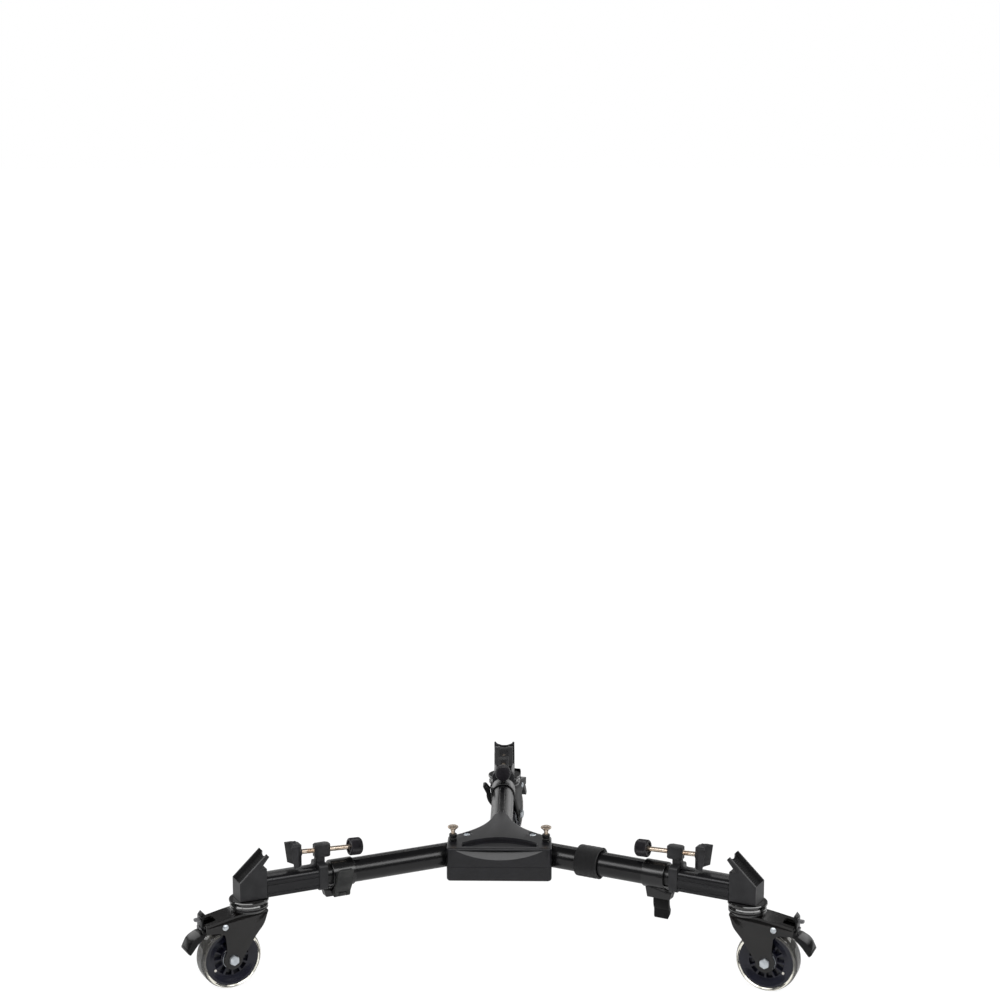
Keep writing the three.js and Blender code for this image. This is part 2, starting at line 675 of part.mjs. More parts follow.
function lockCollar() {
  const overTube = OUTER_TUBE_RADIUS + SEAT_GAP;
  const overInner = INNER_TUBE_RADIUS + SEAT_GAP;
  const ring = bar("x", COLLAR_RADIUS, 0, COLLAR_LENGTH, TUBE_SIDES);
  const lugOutline = shapeOf([
    [LUG_START, -INNER_TUBE_RADIUS],
    [LUG_STEP, -INNER_TUBE_RADIUS],
    [LUG_STEP, -LUG_CLEAR_DROP],
    [LUG_END, -LUG_CLEAR_DROP],
    [LUG_END - LUG_SLANT, -LUG_DROP],
    [LUG_START + LUG_SLANT, -LUG_DROP],
  ]);
  const earStart = LEVER_START + (LEVER_WIDTH - EAR_WIDTH) / 2;
  const earEnd = earStart + EAR_WIDTH;
  const pivot = [LEVER_PIVOT_SIDE, -LEVER_PIVOT_DROP];
  const webLow = -LEVER_PIVOT_DROP - EAR_WEB_HEIGHT / 2;
  const body = join(
    ring,
    acrossY(lugOutline, -LUG_OUTER, LUG_INNER),
    bar("x", LEVER_KNUCKLE_RADIUS, earStart, earEnd, ROUND_SIDES, pivot),
    block([earStart, LUG_INNER - OVERRUN, webLow], [earEnd, LEVER_PIVOT_SIDE, webLow + EAR_WEB_HEIGHT]),
  );
  const splitLow = -LUG_DROP - OVERRUN;
  return cut(
    body,
    bar("x", overTube, -OVERRUN, COLLAR_LAP, TUBE_SIDES),
    bar("x", overInner, 0, LUG_END + OVERRUN, TUBE_SIDES),
    block(
      [-OVERRUN, -SPLIT_OFFSET - SPLIT_WIDTH, splitLow],
      [LUG_END + OVERRUN, -SPLIT_OFFSET, -INNER_TUBE_RADIUS],
    ),
    bar("x", LEVER_PIN_RADIUS + SEAT_GAP, 0, COLLAR_LENGTH, SMALL_SIDES, pivot),
  );
}

// The lever lies against the collar when it is shut. It is drawn about the collar's axis, then moved so that
// its hinge pin is at the origin, where the group that holds it can turn it.
function lockLever() {
  const inner = COLLAR_RADIUS + PADDLE_CLEARANCE;
  const outer = inner + PADDLE_THICKNESS;
  const low = degToRad(PADDLE_LOW_ANGLE);
  const high = degToRad(PADDLE_HIGH_ANGLE);
  const paddle = new THREE.Shape();
  paddle.moveTo(LEVER_PIVOT_SIDE, -LEVER_PIVOT_DROP);
  paddle.lineTo(Math.cos(low) * inner, Math.sin(low) * inner);
  paddle.absarc(0, 0, inner, low, high, false);
  paddle.lineTo(PADDLE_TIP_SIDE, PADDLE_TIP_HEIGHT);
  paddle.lineTo(PADDLE_TIP_SIDE + PADDLE_THICKNESS, PADDLE_TIP_HEIGHT - PADDLE_THICKNESS / 2);
  paddle.lineTo(Math.cos(high) * outer + PADDLE_THICKNESS / 2, Math.sin(high) * outer - PADDLE_THICKNESS);
  paddle.lineTo(Math.cos(low) * outer + PADDLE_THICKNESS, Math.sin(low) * outer);
  paddle.lineTo(LEVER_PIVOT_SIDE, -LEVER_PIVOT_DROP - LEVER_KNUCKLE_RADIUS);
  const pivot = [LEVER_PIVOT_SIDE, -LEVER_PIVOT_DROP];
  const end = LEVER_START + LEVER_WIDTH;
  const earStart = LEVER_START + (LEVER_WIDTH - EAR_WIDTH) / 2;
  const body = join(
    alongX(paddle, LEVER_START, end),
    bar("x", LEVER_KNUCKLE_RADIUS, LEVER_START, end, ROUND_SIDES, pivot),
  );
  const room = bar(
    "x",
    LEVER_KNUCKLE_RADIUS + RUN_GAP,
    earStart - SEAT_GAP,
    earStart + EAR_WIDTH + SEAT_GAP,
    ROUND_SIDES,
    pivot,
  );
  const pin = bar("x", LEVER_PIN_RADIUS, LEVER_START, end, SMALL_SIDES, pivot);
  return join(cut(body, room), pin).translate([0, -LEVER_PIVOT_SIDE, LEVER_PIVOT_DROP]);
}

// Sliding half of an arm, along X from the place of the collar's hub end when the arm is pushed in

function innerTube() {
  const start = -INNER_TUBE_STOW;
  const end = BRACKET_END - SEAT_GAP;
  return cut(
    bar("x", INNER_TUBE_RADIUS, start, end, TUBE_SIDES),
    bar("x", INNER_TUBE_RADIUS - INNER_TUBE_WALL, start - OVERRUN, end + OVERRUN, TUBE_SIDES),
  );
}

// The clamp screw rises a little outwards. Its line crosses the middle of the boss at SCREW_HEIGHT, and what
// lies on that line is drawn level, then tilted about that crossing.
function tilted(solid) {
  const middle = BRACKET_START - BOSS_OVERHANG + BOSS_LENGTH / 2;
  const level = solid.translate([-middle, 0, -SCREW_HEIGHT]);
  return level.rotate([0, -SCREW_TILT, 0]).translate([middle, 0, SCREW_HEIGHT]);
}

function clampBracket() {
  const ring = alongX(
    roundedOutline(BRACKET_HALF_WIDTH, -BRACKET_DROP, BRACKET_TOP, BRACKET_CORNER, BRACKET_CORNER),
    BRACKET_START,
    BRACKET_END,
  );
  const middle = (BRACKET_START + BRACKET_END) / 2;
  const bossMiddle = BRACKET_START - BOSS_OVERHANG + BOSS_LENGTH / 2;
  const bossLow = SCREW_HEIGHT - BOSS_HEIGHT / 2;
  const neck = block(
    [middle - NECK_LENGTH / 2, -NECK_HALF_WIDTH, INNER_TUBE_RADIUS + OVERRUN],
    [middle + NECK_LENGTH / 2, NECK_HALF_WIDTH, SCREW_HEIGHT],
  );
  const halfBoss = BOSS_LENGTH / 2;
  const bossPlan = [
    [halfBoss, BOSS_HALF_WIDTH - BOSS_CHAMFER],
    [halfBoss - BOSS_CHAMFER, BOSS_HALF_WIDTH],
    [-halfBoss + BOSS_CHAMFER, BOSS_HALF_WIDTH],
    [-halfBoss, BOSS_HALF_WIDTH - BOSS_CHAMFER],
    [-halfBoss, -BOSS_HALF_WIDTH + BOSS_CHAMFER],
    [-halfBoss + BOSS_CHAMFER, -BOSS_HALF_WIDTH],
    [halfBoss - BOSS_CHAMFER, -BOSS_HALF_WIDTH],
    [halfBoss, -BOSS_HALF_WIDTH + BOSS_CHAMFER],
  ];
  const boss = raised(
    shapeOf(bossPlan.map(([x, y]) => [bossMiddle + x, y])),
    bossLow,
    bossLow + BOSS_HEIGHT,
  );
  const gussetLow = TRAY_HEIGHT / 2 + SEAT_GAP;
  const gusset = new THREE.Shape();
  gusset.moveTo(middle, gussetLow);
  gusset.lineTo(BRACKET_END + GUSSET_LENGTH, gussetLow);
  gusset.quadraticCurveTo(BRACKET_END, gussetLow, BRACKET_END, gussetLow + GUSSET_HEIGHT);
  gusset.lineTo(middle, gussetLow + GUSSET_HEIGHT);
  return cut(
    join(ring, neck, boss, acrossY(gusset, -GUSSET_HALF_WIDTH, GUSSET_HALF_WIDTH)),
    bar("x", INNER_TUBE_RADIUS + SEAT_GAP, BRACKET_START - OVERRUN, BRACKET_END + OVERRUN, TUBE_SIDES),
    tilted(bar("x", SCREW_RADIUS + SEAT_GAP, 0, BLOCK_START, ROUND_SIDES, [0, SCREW_HEIGHT])),
  );
}

function clampScrew() {
  const start = KNOB_LENGTH - KNOB_OVERHANG - KNOB_SOCKET_DEPTH + SEAT_GAP;
  const end = PAD_START + PAD_SOCKET_DEPTH - SEAT_GAP;
  return tilted(bar("x", SCREW_RADIUS, start, end, ROUND_SIDES, [0, SCREW_HEIGHT]));
}

function clampKnob() {
  const points = [];
  for (let i = 0; i < 2 * KNOB_FLUTES; i += 1) {
    const radius = KNOB_RADIUS - KNOB_BEVEL - (i % 2) * KNOB_FLUTE_DEPTH;
    const { x, y } = heading((i * 180) / KNOB_FLUTES, radius);
    points.push([x, y]);
  }
  const body = new THREE.ExtrudeGeometry(shapeOf(points), {
    depth: KNOB_LENGTH - 2 * KNOB_BEVEL,
    bevelThickness: KNOB_BEVEL,
    bevelSize: KNOB_BEVEL,
    bevelSegments: 1,
  });
  body.rotateY(Math.PI / 2).translate(KNOB_BEVEL - KNOB_OVERHANG, 0, SCREW_HEIGHT);
  const end = KNOB_LENGTH - KNOB_OVERHANG;
  const socket = bar(
    "x",
    SCREW_RADIUS + SEAT_GAP,
    end - KNOB_SOCKET_DEPTH,
    end + OVERRUN,
    ROUND_SIDES,
    [0, SCREW_HEIGHT],
  );
  return tilted(cut(solidOf(body), socket));
}

// The pad's outer face is hollowed like a V to hold a round foot, and leans as the foot does.
function clampPad() {
  const plan = shapeOf([
    [PAD_START, -PAD_BACK_HALF_WIDTH],
    [PAD_START + PAD_BACK_DEPTH, -PAD_HALF_WIDTH],
    [PAD_START + PAD_THICKNESS, -PAD_HALF_WIDTH],
    [PAD_START + PAD_MIDDLE, 0],
    [PAD_START + PAD_THICKNESS, PAD_HALF_WIDTH],
    [PAD_START + PAD_BACK_DEPTH, PAD_HALF_WIDTH],
    [PAD_START, PAD_BACK_HALF_WIDTH],
  ]);
  const front = PAD_START + PAD_THICKNESS;
  const lean = shapeOf([
    [front, PAD_HIGH],
    [front - PAD_LEAN, PAD_LOW - OVERRUN],
    [front + PAD_THICKNESS, PAD_LOW - OVERRUN],
    [front + PAD_THICKNESS, PAD_HIGH],
  ]);
  const socketEnd = PAD_START + PAD_SOCKET_DEPTH;
  const socketRadius = SCREW_RADIUS + SEAT_GAP;
  return cut(
    raised(plan, PAD_LOW, PAD_HIGH),
    acrossY(lean, -PAD_HALF_WIDTH - OVERRUN, PAD_HALF_WIDTH + OVERRUN),
    tilted(bar("x", socketRadius, PAD_START - OVERRUN, socketEnd, ROUND_SIDES, [0, SCREW_HEIGHT])),
  );
}

function footTray() {
  const half = TRAY_HEIGHT / 2;
  const outline = roundedOutline(TRAY_WIDTH / 2, -half, half, TRAY_LOW_ROUND, TRAY_TOP_ROUND);
  const hollow = roundedOutline(
    TRAY_WIDTH / 2 - TRAY_WALL - GROOVE_DEPTH,
    -half + TRAY_WALL,
    half - TRAY_WALL,
    TRAY_LOW_ROUND,
    TRAY_TOP_ROUND,
  );
  const end = TRAY_START + TRAY_LENGTH;
  const grooves = [-1, 1].flatMap((side) =>
    [GROOVE_RISE, -half + 2 * TRAY_LOW_ROUND - GROOVE_HEIGHT].map((low) => {
      const wall = (side * TRAY_WIDTH) / 2;
      const inner = wall - side * GROOVE_DEPTH;
      const outer = wall + side * OVERRUN;
      return block(
        [TRAY_START - OVERRUN, Math.min(inner, outer), low],
        [end + OVERRUN, Math.max(inner, outer), low + GROOVE_HEIGHT],
      );
    }),
  );
  return cut(
    alongX(outline, TRAY_START, end),
    alongX(hollow, TRAY_START - OVERRUN, end + OVERRUN),
    ...grooves,
  );
}

// The block closes the tray's end and carries the castor. Its plate leans in over the deck, and a shallow
// round channel runs down the plate's outer slope.
function endBlock() {
  const low = -TRAY_HEIGHT / 2;
  const end = BLOCK_START + BLOCK_LENGTH;
  const slope = new THREE.Vector2(BLOCK_LENGTH, BLOCK_NOSE_HEIGHT - BLOCK_PLATE_TOP).normalize();
  const inward = new THREE.Vector2(slope.y, -slope.x).multiplyScalar(BLOCK_PLATE_THICKNESS);
  const outline = shapeOf([
    [BLOCK_START, low],
    [end, low],
    [end, BLOCK_NOSE_HEIGHT],
    [BLOCK_START, BLOCK_PLATE_TOP],
    [BLOCK_START + inward.x, BLOCK_PLATE_TOP + inward.y],
    [BLOCK_START + BLOCK_LEDGE_LENGTH, BLOCK_LEDGE_HEIGHT],
    [BLOCK_START, BLOCK_LEDGE_HEIGHT],
  ]);
  const halfChannel = BLOCK_WIDTH / 2 - CHANNEL_MARGIN;
  const channelRadius = (halfChannel ** 2 + CHANNEL_DEPTH ** 2) / (2 * CHANNEL_DEPTH);
  const slopeLength = Math.hypot(BLOCK_LENGTH, BLOCK_PLATE_TOP - BLOCK_NOSE_HEIGHT);
  const channel = new THREE.CylinderGeometry(channelRadius, channelRadius, 2 * slopeLength, 2 * WHEEL_SIDES);
  const tilt = Math.atan2(slope.y, slope.x);
  const lift = channelRadius - CHANNEL_DEPTH;
  channel.rotateZ(-Math.PI / 2).rotateY(-tilt);
  channel.translate(
    BLOCK_START + BLOCK_LENGTH / 2 - lift * slope.y,
    0,
    (BLOCK_PLATE_TOP + BLOCK_NOSE_HEIGHT) / 2 + lift * slope.x,
  );
  const stemBore = bar(
    "z",
    STEM_RADIUS + SEAT_GAP,
    low - OVERRUN,
    low + STEM_LENGTH,
    ROUND_SIDES,
    [STEM_PLACE, 0],
  );
  return cut(acrossY(outline, -BLOCK_WIDTH / 2, BLOCK_WIDTH / 2), solidOf(channel), stemBore);
}

// Castor, with X along its trail and Z 0 at the top of its fixed race

function castorMount() {
  const headTop = -FORK_TOP_DROP - FORK_WALL - SEAT_GAP;
  return turned(
    "z",
    [
      [0, headTop - KINGPIN_HEAD_THICKNESS],
      [KINGPIN_HEAD_RADIUS, headTop - KINGPIN_HEAD_THICKNESS],
      [KINGPIN_HEAD_RADIUS, headTop],
      [KINGPIN_RADIUS, headTop],
      [KINGPIN_RADIUS, -RACE_THICKNESS],
      [RACE_RADIUS, -RACE_THICKNESS],
      [RACE_RADIUS, 0],
      [STEM_RADIUS, 0],
      [STEM_RADIUS, STEM_LENGTH - OVERRUN],
      [0, STEM_LENGTH - OVERRUN],
    ],
    TUBE_SIDES,
  );
}

// Side outline of the fork. With a wall, it is the outline of the room under the fork's top plate.
function forkOutline(wall) {
  const shape = new THREE.Shape();
  const top = -FORK_TOP_DROP - wall;
  const tailTop = -FORK_TAIL_TOP_DROP - wall;
  shape.moveTo(-FORK_FRONT - wall, top);
  shape.lineTo(FORK_KNEE, top);
  shape.lineTo(FORK_TAIL + wall, tailTop);
  if (wall > 0) {
    shape.lineTo(FORK_TAIL + wall, -AXLE_DROP - 2 * FORK_EYE_RADIUS);
    shape.lineTo(-FORK_FRONT - wall, -AXLE_DROP - 2 * FORK_EYE_RADIUS);
    return shape;
  }
  shape.lineTo(FORK_TAIL, -FORK_TAIL_LOW_DROP);
  shape.lineTo(FORK_NOTCH_BACK + FORK_WALL, -FORK_NOTCH_DROP);
  shape.quadraticCurveTo(FORK_ARM_BACK, -FORK_NOTCH_DROP, FORK_ARM_BACK, -FORK_NOTCH_DROP - FORK_EYE_RADIUS);
  shape.lineTo(FORK_ARM_BACK, -FORK_ARM_DROP);
  shape.lineTo(TRAIL + FORK_EYE_RADIUS * Math.SQRT1_2, -AXLE_DROP + FORK_EYE_RADIUS * Math.SQRT1_2);
  shape.absarc(TRAIL, -AXLE_DROP, FORK_EYE_RADIUS, Math.PI / 4, Math.PI, true);
  shape.lineTo(-FORK_THROAT, -FORK_THROAT_DROP);
  shape.lineTo(-FORK_BROW, -FORK_BROW_DROP);
  shape.lineTo(-FORK_FRONT, -FORK_FRONT_DROP);
  return shape;
}

function castorFork() {
  const plates = acrossY(forkOutline(0), -FORK_OUTER_HALF_WIDTH, FORK_OUTER_HALF_WIDTH);
  const room = acrossY(forkOutline(FORK_WALL), -FORK_INNER_HALF_WIDTH, FORK_INNER_HALF_WIDTH);
  const ring = bar("z", SWIVEL_RING_RADIUS, -FORK_TOP_DROP - FORK_WALL, -RING_TOP_DROP, TUBE_SIDES);
  const across = FORK_OUTER_HALF_WIDTH + OVERRUN;
  const slot = RELEASE_HALF_WIDTH + RELEASE_CLEARANCE;
  return cut(
    join(cut(plates, room), ring),
    block(
      [FORK_SLOT_FRONT, -slot, -FORK_TAIL_TOP_DROP - FORK_WALL - OVERRUN],
      [FORK_TAIL + OVERRUN, slot, 0],
    ),
    bar("z", KINGPIN_RADIUS + SEAT_GAP, -FORK_TOP_DROP - FORK_WALL - OVERRUN, 0, ROUND_SIDES),
    bar("y", AXLE_RADIUS + SEAT_GAP, -across, across, ROUND_SIDES, [TRAIL, -AXLE_DROP]),
    bar("y", RIVET_RADIUS + SEAT_GAP, -across, across, SMALL_SIDES, [RIVET_BACK, -RIVET_DROP]),
  );
}

function axleBolt() {
  const inner = FORK_OUTER_HALF_WIDTH + SEAT_GAP;
  const outer = inner + AXLE_HEAD_THICKNESS;
  const place = [TRAIL, -AXLE_DROP];
  return join(
    bar("y", AXLE_RADIUS, -outer, outer, ROUND_SIDES, place),
    bar("y", AXLE_HEAD_RADIUS, -outer, -inner, HEX_SIDES, place),
    bar("y", AXLE_HEAD_RADIUS, inner, outer, HEX_SIDES, place),
  );
}

function wheelCore() {
  const bore = AXLE_RADIUS + SEAT_GAP;
  const half = [
    [bore, CORE_BOSS_HALF_WIDTH],
    [CORE_BOSS_RADIUS, CORE_BOSS_HALF_WIDTH],
    [CORE_BOSS_RADIUS + CORE_RIM_DEPTH, CORE_WEB_HALF_WIDTH],
    [CORE_RADIUS, TYRE_HALF_WIDTH],
  ];
  const back = half.map(([radius, place]) => [radius, -place]).reverse();
  const core = turned("y", [...half, ...back, half[0]], WHEEL_SIDES);
  return core.translate([TRAIL, 0, -AXLE_DROP]);
}

function tyre() {
  const inner = CORE_RADIUS + SEAT_GAP;
  const half = [
    [inner, TYRE_HALF_WIDTH],
    [WHEEL_RADIUS - TYRE_SHOULDER, TYRE_HALF_WIDTH],
    [WHEEL_RADIUS, TYRE_CROWN_HALF_WIDTH],
  ];
  const back = half.map(([radius, place]) => [radius, -place]).reverse();
  const ring = turned("y", [...half, ...back, half[0]], WHEEL_SIDES);
  return ring.translate([TRAIL, 0, -AXLE_DROP]);
}

// One lever for braking and release: a brake arm between the fork plates, the foot pedal and the release tab
// behind them, with a steel spring tab, turning on a rivet.
function brakePedal() {
  const root = FORK_TAIL + PEDAL_GAP;
  const armShape = shapeOf([
    [BRAKE_ARM_FRONT, -BRAKE_ARM_FRONT_TOP],
    [BRAKE_ARM_FRONT, -BRAKE_ARM_FRONT_LOW],
    [BRAKE_SHOE_BACK, -BRAKE_SHOE_LOW],
    [root + RELEASE_THICKNESS, -PEDAL_ROOT_DROP - PEDAL_THICKNESS],
    [root + RELEASE_THICKNESS, -BRAKE_TAIL_TOP],
  ]);
  const pedal = shapeOf([
    [root, -PEDAL_ROOT_DROP],
    [root + PEDAL_THICKNESS, -PEDAL_ROOT_DROP],
    [PEDAL_KNEE_BACK, -PEDAL_KNEE_DROP],
    [PEDAL_TIP_BACK, -PEDAL_TIP_DROP],
    [PEDAL_TIP_BACK - PEDAL_THICKNESS, -PEDAL_TIP_DROP - PEDAL_THICKNESS],
    [PEDAL_BACK, -PEDAL_BACK_DROP],
    [root, -PEDAL_ROOT_DROP - PEDAL_THICKNESS],
  ]);
  const release = shapeOf([
    [root, -PEDAL_ROOT_DROP - PEDAL_THICKNESS],
    [root, -RELEASE_KNEE_DROP - RELEASE_THICKNESS],
    [root - RELEASE_LEAN, -RELEASE_KNEE_DROP],
    [root - RELEASE_TIP_LEAN, -RELEASE_TOP_DROP],
    [root + RELEASE_THICKNESS, -RELEASE_TOP_DROP - RELEASE_SHOULDER],
    [root + RELEASE_THICKNESS, -SPRING_TAB_DROP],
    [root + RELEASE_THICKNESS, -PEDAL_ROOT_DROP],
  ]);
  const tabEnd = root + SPRING_TAB_LENGTH;
  const halfPlates = FORK_OUTER_HALF_WIDTH + SEAT_GAP;
  const headEnd = halfPlates + RIVET_HEAD_THICKNESS;
  const rivet = [RIVET_BACK, -RIVET_DROP];
  return join(
    acrossY(armShape, -BRAKE_ARM_HALF_WIDTH, BRAKE_ARM_HALF_WIDTH),
    acrossY(pedal, -PEDAL_HALF_WIDTH, PEDAL_HALF_WIDTH),
    acrossY(release, -RELEASE_HALF_WIDTH, RELEASE_HALF_WIDTH),
    block(
      [root, -SPRING_TAB_HALF_WIDTH, -SPRING_TAB_DROP - SPRING_TAB_THICKNESS],
      [tabEnd, SPRING_TAB_HALF_WIDTH, -SPRING_TAB_DROP],
    ),
    bar("y", RIVET_RADIUS, -headEnd, headEnd, SMALL_SIDES, rivet),
    bar("y", RIVET_HEAD_RADIUS, -headEnd, -halfPlates, SMALL_SIDES, rivet),
    bar("y", RIVET_HEAD_RADIUS, halfPlates, headEnd, SMALL_SIDES, rivet),
  );
}

// Assembly

function castorGroup(name, turn) {
  const group = new THREE.Group();
  group.position.set(STEM_PLACE, 0, -TRAY_HEIGHT / 2 - SEAT_GAP);
  group.rotation.z = degToRad(turn);
  group.add(
    meshOf(`${name}_castor_mount`, castorMount(), satinBlack),
    meshOf(`${name}_castor_fork`, castorFork(), glossBlack),
    meshOf(`${name}_axle_bolt`, axleBolt(), silver),
    meshOf(`${name}_wheel_core`, wheelCore(), coreBlack),
    meshOf(`${name}_tyre`, tyre(), clearTread),
    meshOf(`${name}_brake_pedal`, brakePedal(), moulded),
  );
  return group;
}

function slidingGroup(name, reach, castorTurn) {
  const group = new THREE.Group();
  group.position.x = reach;
  group.add(
    meshOf(`${name}_inner_tube`, innerTube(), satinBlack),
    meshOf(`${name}_clamp_bracket`, clampBracket(), moulded),
    meshOf(`${name}_clamp_screw`, clampScrew(), nickel),
    meshOf(`${name}_clamp_knob`, clampKnob(), moulded),
    meshOf(`${name}_clamp_pad`, clampPad(), moulded),
    meshOf(`${name}_foot_tray`, footTray(), satinBlack),
    meshOf(`${name}_end_block`, endBlock(), moulded),
    castorGroup(name, castorTurn),
  );
  return group;
}

function armGroup({ name, side, reach, extension, leverTurn, castorTurn }) {
  const group = new THREE.Group();
  group.rotation.z = degToRad(armAngle(side));
  const hingeEnd = HINGE_REACH + HINGE_BLOCK_LENGTH + SEAT_GAP;
  const tubeStart = side === 0 ? REAR_TUBE_START : hingeEnd;
  const tubeEnd = reach + COLLAR_LAP - SEAT_GAP;
  const lever = new THREE.Group();
  lever.position.set(reach, LEVER_PIVOT_SIDE, -LEVER_PIVOT_DROP);
  lever.rotation.x = degToRad(leverTurn);
  lever.add(meshOf(`${name}_lock_lever`, lockLever(), satinBlack));
  const collar = meshOf(`${name}_lock_collar`, lockCollar(), glossBlack);
  collar.position.x = reach;
  group.add(
    meshOf(`${name}_outer_tube`, outerTube(tubeStart, tubeEnd, side), glossBlack),
    collar,
    lever,
    slidingGroup(name, reach + extension, castorTurn),
  );
  if (side !== 0) group.add(meshOf(`${name}_arm_hinge`, armHinge(side), satinBlack));
  if (side > 0) {
    const band = meshOf("hook_and_loop_strap", strap(), fabricBlack);
    band.position.x = STRAP_START;
    group.add(band);
  }
  return group;
}

function hubGroup() {
  const group = new THREE.Group();
  const hollows = hubHollows();
  group.add(
    meshOf("hub_cover", hubCover(hollows), moulded),
    meshOf("hub_base", hubBase(hollows), moulded),
    meshOf("rear_tube_bolt", rearTubeBolt(), silver),
  );
  for (const [name, side] of [
    ["left", -1],
    ["right", 1],
  ]) {
    group.add(
      meshOf(`${name}_arm_pivot`, armPivot(side), silver),
      meshOf(`${name}_pin_bushing`, pinBushing(side), satinBlack),
      meshOf(`${name}_lock_pin`, lockPin(side), nickel),
    );
  }
  return group;
}

// The levers of the left and rear arms are shut and the right one hangs open. The castors stand as they were
// left, each a little off its arm's line.
const ARMS = [
  { name: "left", side: -1, reach: FRONT_TUBE_REACH, extension: 0, leverTurn: 0, castorTurn: 2.5 },
  {
    name: "right",
    side: 1,
    reach: FRONT_TUBE_REACH,
    extension: 0,
    leverTurn: -LEVER_OPEN_ANGLE,
    castorTurn: 5.5,
  },
  { name: "rear", side: 0, reach: REAR_TUBE_REACH, extension: REAR_EXTENSION, leverTurn: 0, castorTurn: -15 },
];

// The dolly stands on the floor with the middle of its bounding box over the origin.
const assembly = new THREE.Group();
assembly.add(hubGroup(), ...ARMS.map(armGroup));
const dolly = new THREE.Group();
dolly.add(assembly);
const middle = new THREE.Box3().setFromObject(dolly, true).getCenter(new THREE.Vector3());
assembly.position.set(-middle.x, -middle.y, AXIS_HEIGHT);

export default dolly;
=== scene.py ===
"""The looks of a folding three-armed dolly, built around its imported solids.

Each piece is drawn in millimetres in its own arm's frame, with X outward along the arm. Its mesh is
then placed in metres where its solid stands.
"""

import json
from math import acos, atan2, cos, degrees, hypot, pi, radians, sin

import bmesh
import bpy
from mathutils import Matrix, Vector


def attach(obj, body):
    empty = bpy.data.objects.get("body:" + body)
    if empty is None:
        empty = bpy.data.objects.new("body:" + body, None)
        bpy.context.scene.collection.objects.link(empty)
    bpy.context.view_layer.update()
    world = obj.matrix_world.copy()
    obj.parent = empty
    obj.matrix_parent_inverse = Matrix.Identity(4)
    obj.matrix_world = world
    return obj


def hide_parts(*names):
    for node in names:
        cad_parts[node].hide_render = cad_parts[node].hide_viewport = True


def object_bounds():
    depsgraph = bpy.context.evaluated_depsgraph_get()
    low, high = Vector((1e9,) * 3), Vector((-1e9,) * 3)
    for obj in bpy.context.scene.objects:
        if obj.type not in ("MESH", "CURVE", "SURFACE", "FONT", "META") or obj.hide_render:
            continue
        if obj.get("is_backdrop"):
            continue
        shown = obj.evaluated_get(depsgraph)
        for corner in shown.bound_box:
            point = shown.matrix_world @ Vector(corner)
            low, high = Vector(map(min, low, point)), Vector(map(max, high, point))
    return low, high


bl_info = {
    "name": "Folding Dolly Looks",
    "version": (1, 0, 0),
    "blender": (4, 5, 0),
    "location": "3D View > Sidebar > Dolly",
    "description": "Dresses the folding dolly with finished pieces, a floor, lights and a camera",
    "category": "Object",
}

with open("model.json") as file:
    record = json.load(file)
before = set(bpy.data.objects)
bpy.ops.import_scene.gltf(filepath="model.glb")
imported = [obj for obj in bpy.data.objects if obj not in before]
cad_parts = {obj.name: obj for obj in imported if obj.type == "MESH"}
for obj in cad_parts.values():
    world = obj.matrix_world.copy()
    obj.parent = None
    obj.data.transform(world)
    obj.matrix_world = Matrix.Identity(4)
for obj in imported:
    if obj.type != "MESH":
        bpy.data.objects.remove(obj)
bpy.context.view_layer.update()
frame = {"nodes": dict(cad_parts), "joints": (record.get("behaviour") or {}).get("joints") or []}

MM = 0.001

# Where things stand, in millimetres and degrees. An arm's reach runs from the crossing to its lock
# collar, and its extension is how far it is drawn out.
ARM_ANGLE = {"left": 207.5, "right": -27.5, "rear": 90.0}
ARM_REACH = {"left": 205.0, "right": 205.0, "rear": 213.0}
ARM_EXTENSION = {"left": 0.0, "right": 0.0, "rear": 14.0}
LEVER_TURN = {"left": 0.0, "right": -152.0, "rear": 0.0}
CASTOR_TURN = {"left": 2.5, "right": 5.5, "rear": -15.0}
PIVOTS_BEFORE_CROSSING = 4.05
PIVOT_ALONG, PIVOT_ASIDE = 39.5, 16.0
PIN_ALONG = 66.5
TUBE_START = {"left": 50.8, "right": 50.8, "rear": 22}
TUBE_PAST_REACH = 9.7
LEVER_PIN = (0, 10, -22)
SCREW_MIDDLE = (39, 0, 32.2)
SCREW_TILT = 3.0
STEM_TOP = (132.8, 0, -12.8)
AXLE = (27, 0, -67.7)
HUB_TOP, ABOVE_HUB, HUB_UNDERSIDE = 17, 24, -26
COVER_BOTTOM, BASE_TOP = -7.2, -7.5
TUBE_ROOM = 15.4

# The camera's place beside and above the crossing, and how far it looks down and to the side
CAMERA_ASIDE, CAMERA_ABOVE = 41.7, 759
CAMERA_DOWN, CAMERA_TURN = 7.973, 1.08

# How far the floor lies below the wheels, in metres
FLOOR_GAP = 0.0002

# The rounding of a shape that only cuts, and the two ways of standing a drawn outline up
SHARP = 0.01
Y_FOR_Z = Matrix(((1, 0, 0, 0), (0, 0, 1, 0), (0, 1, 0, 0), (0, 0, 0, 1)))
AXES_ON = Matrix(((0, 0, 1, 0), (1, 0, 0, 0), (0, 1, 0, 0), (0, 0, 0, 1)))


# Places


def joint_place(name):
    return next(Vector(j["pos_m"]) for j in frame["joints"] if j["name"] == name)


def crossing_place():
    """The point where the three arms' axes meet, a little behind the two fold pivots."""
    left = joint_place("left_arm_fold")
    right = joint_place("right_arm_fold")
    return (left + right) / 2 + Vector((0, PIVOTS_BEFORE_CROSSING * MM, 0))


CROSSING = crossing_place()
HUB_PLACE = Matrix.Translation(CROSSING) @ Matrix.Scale(MM, 4)


def arm_place(arm, along=0.0):
    turn = Matrix.Rotation(radians(ARM_ANGLE[arm]), 4, "Z")
    return HUB_PLACE @ turn @ Matrix.Translation((along, 0, 0))


def collar_place(arm):
    return arm_place(arm, ARM_REACH[arm])


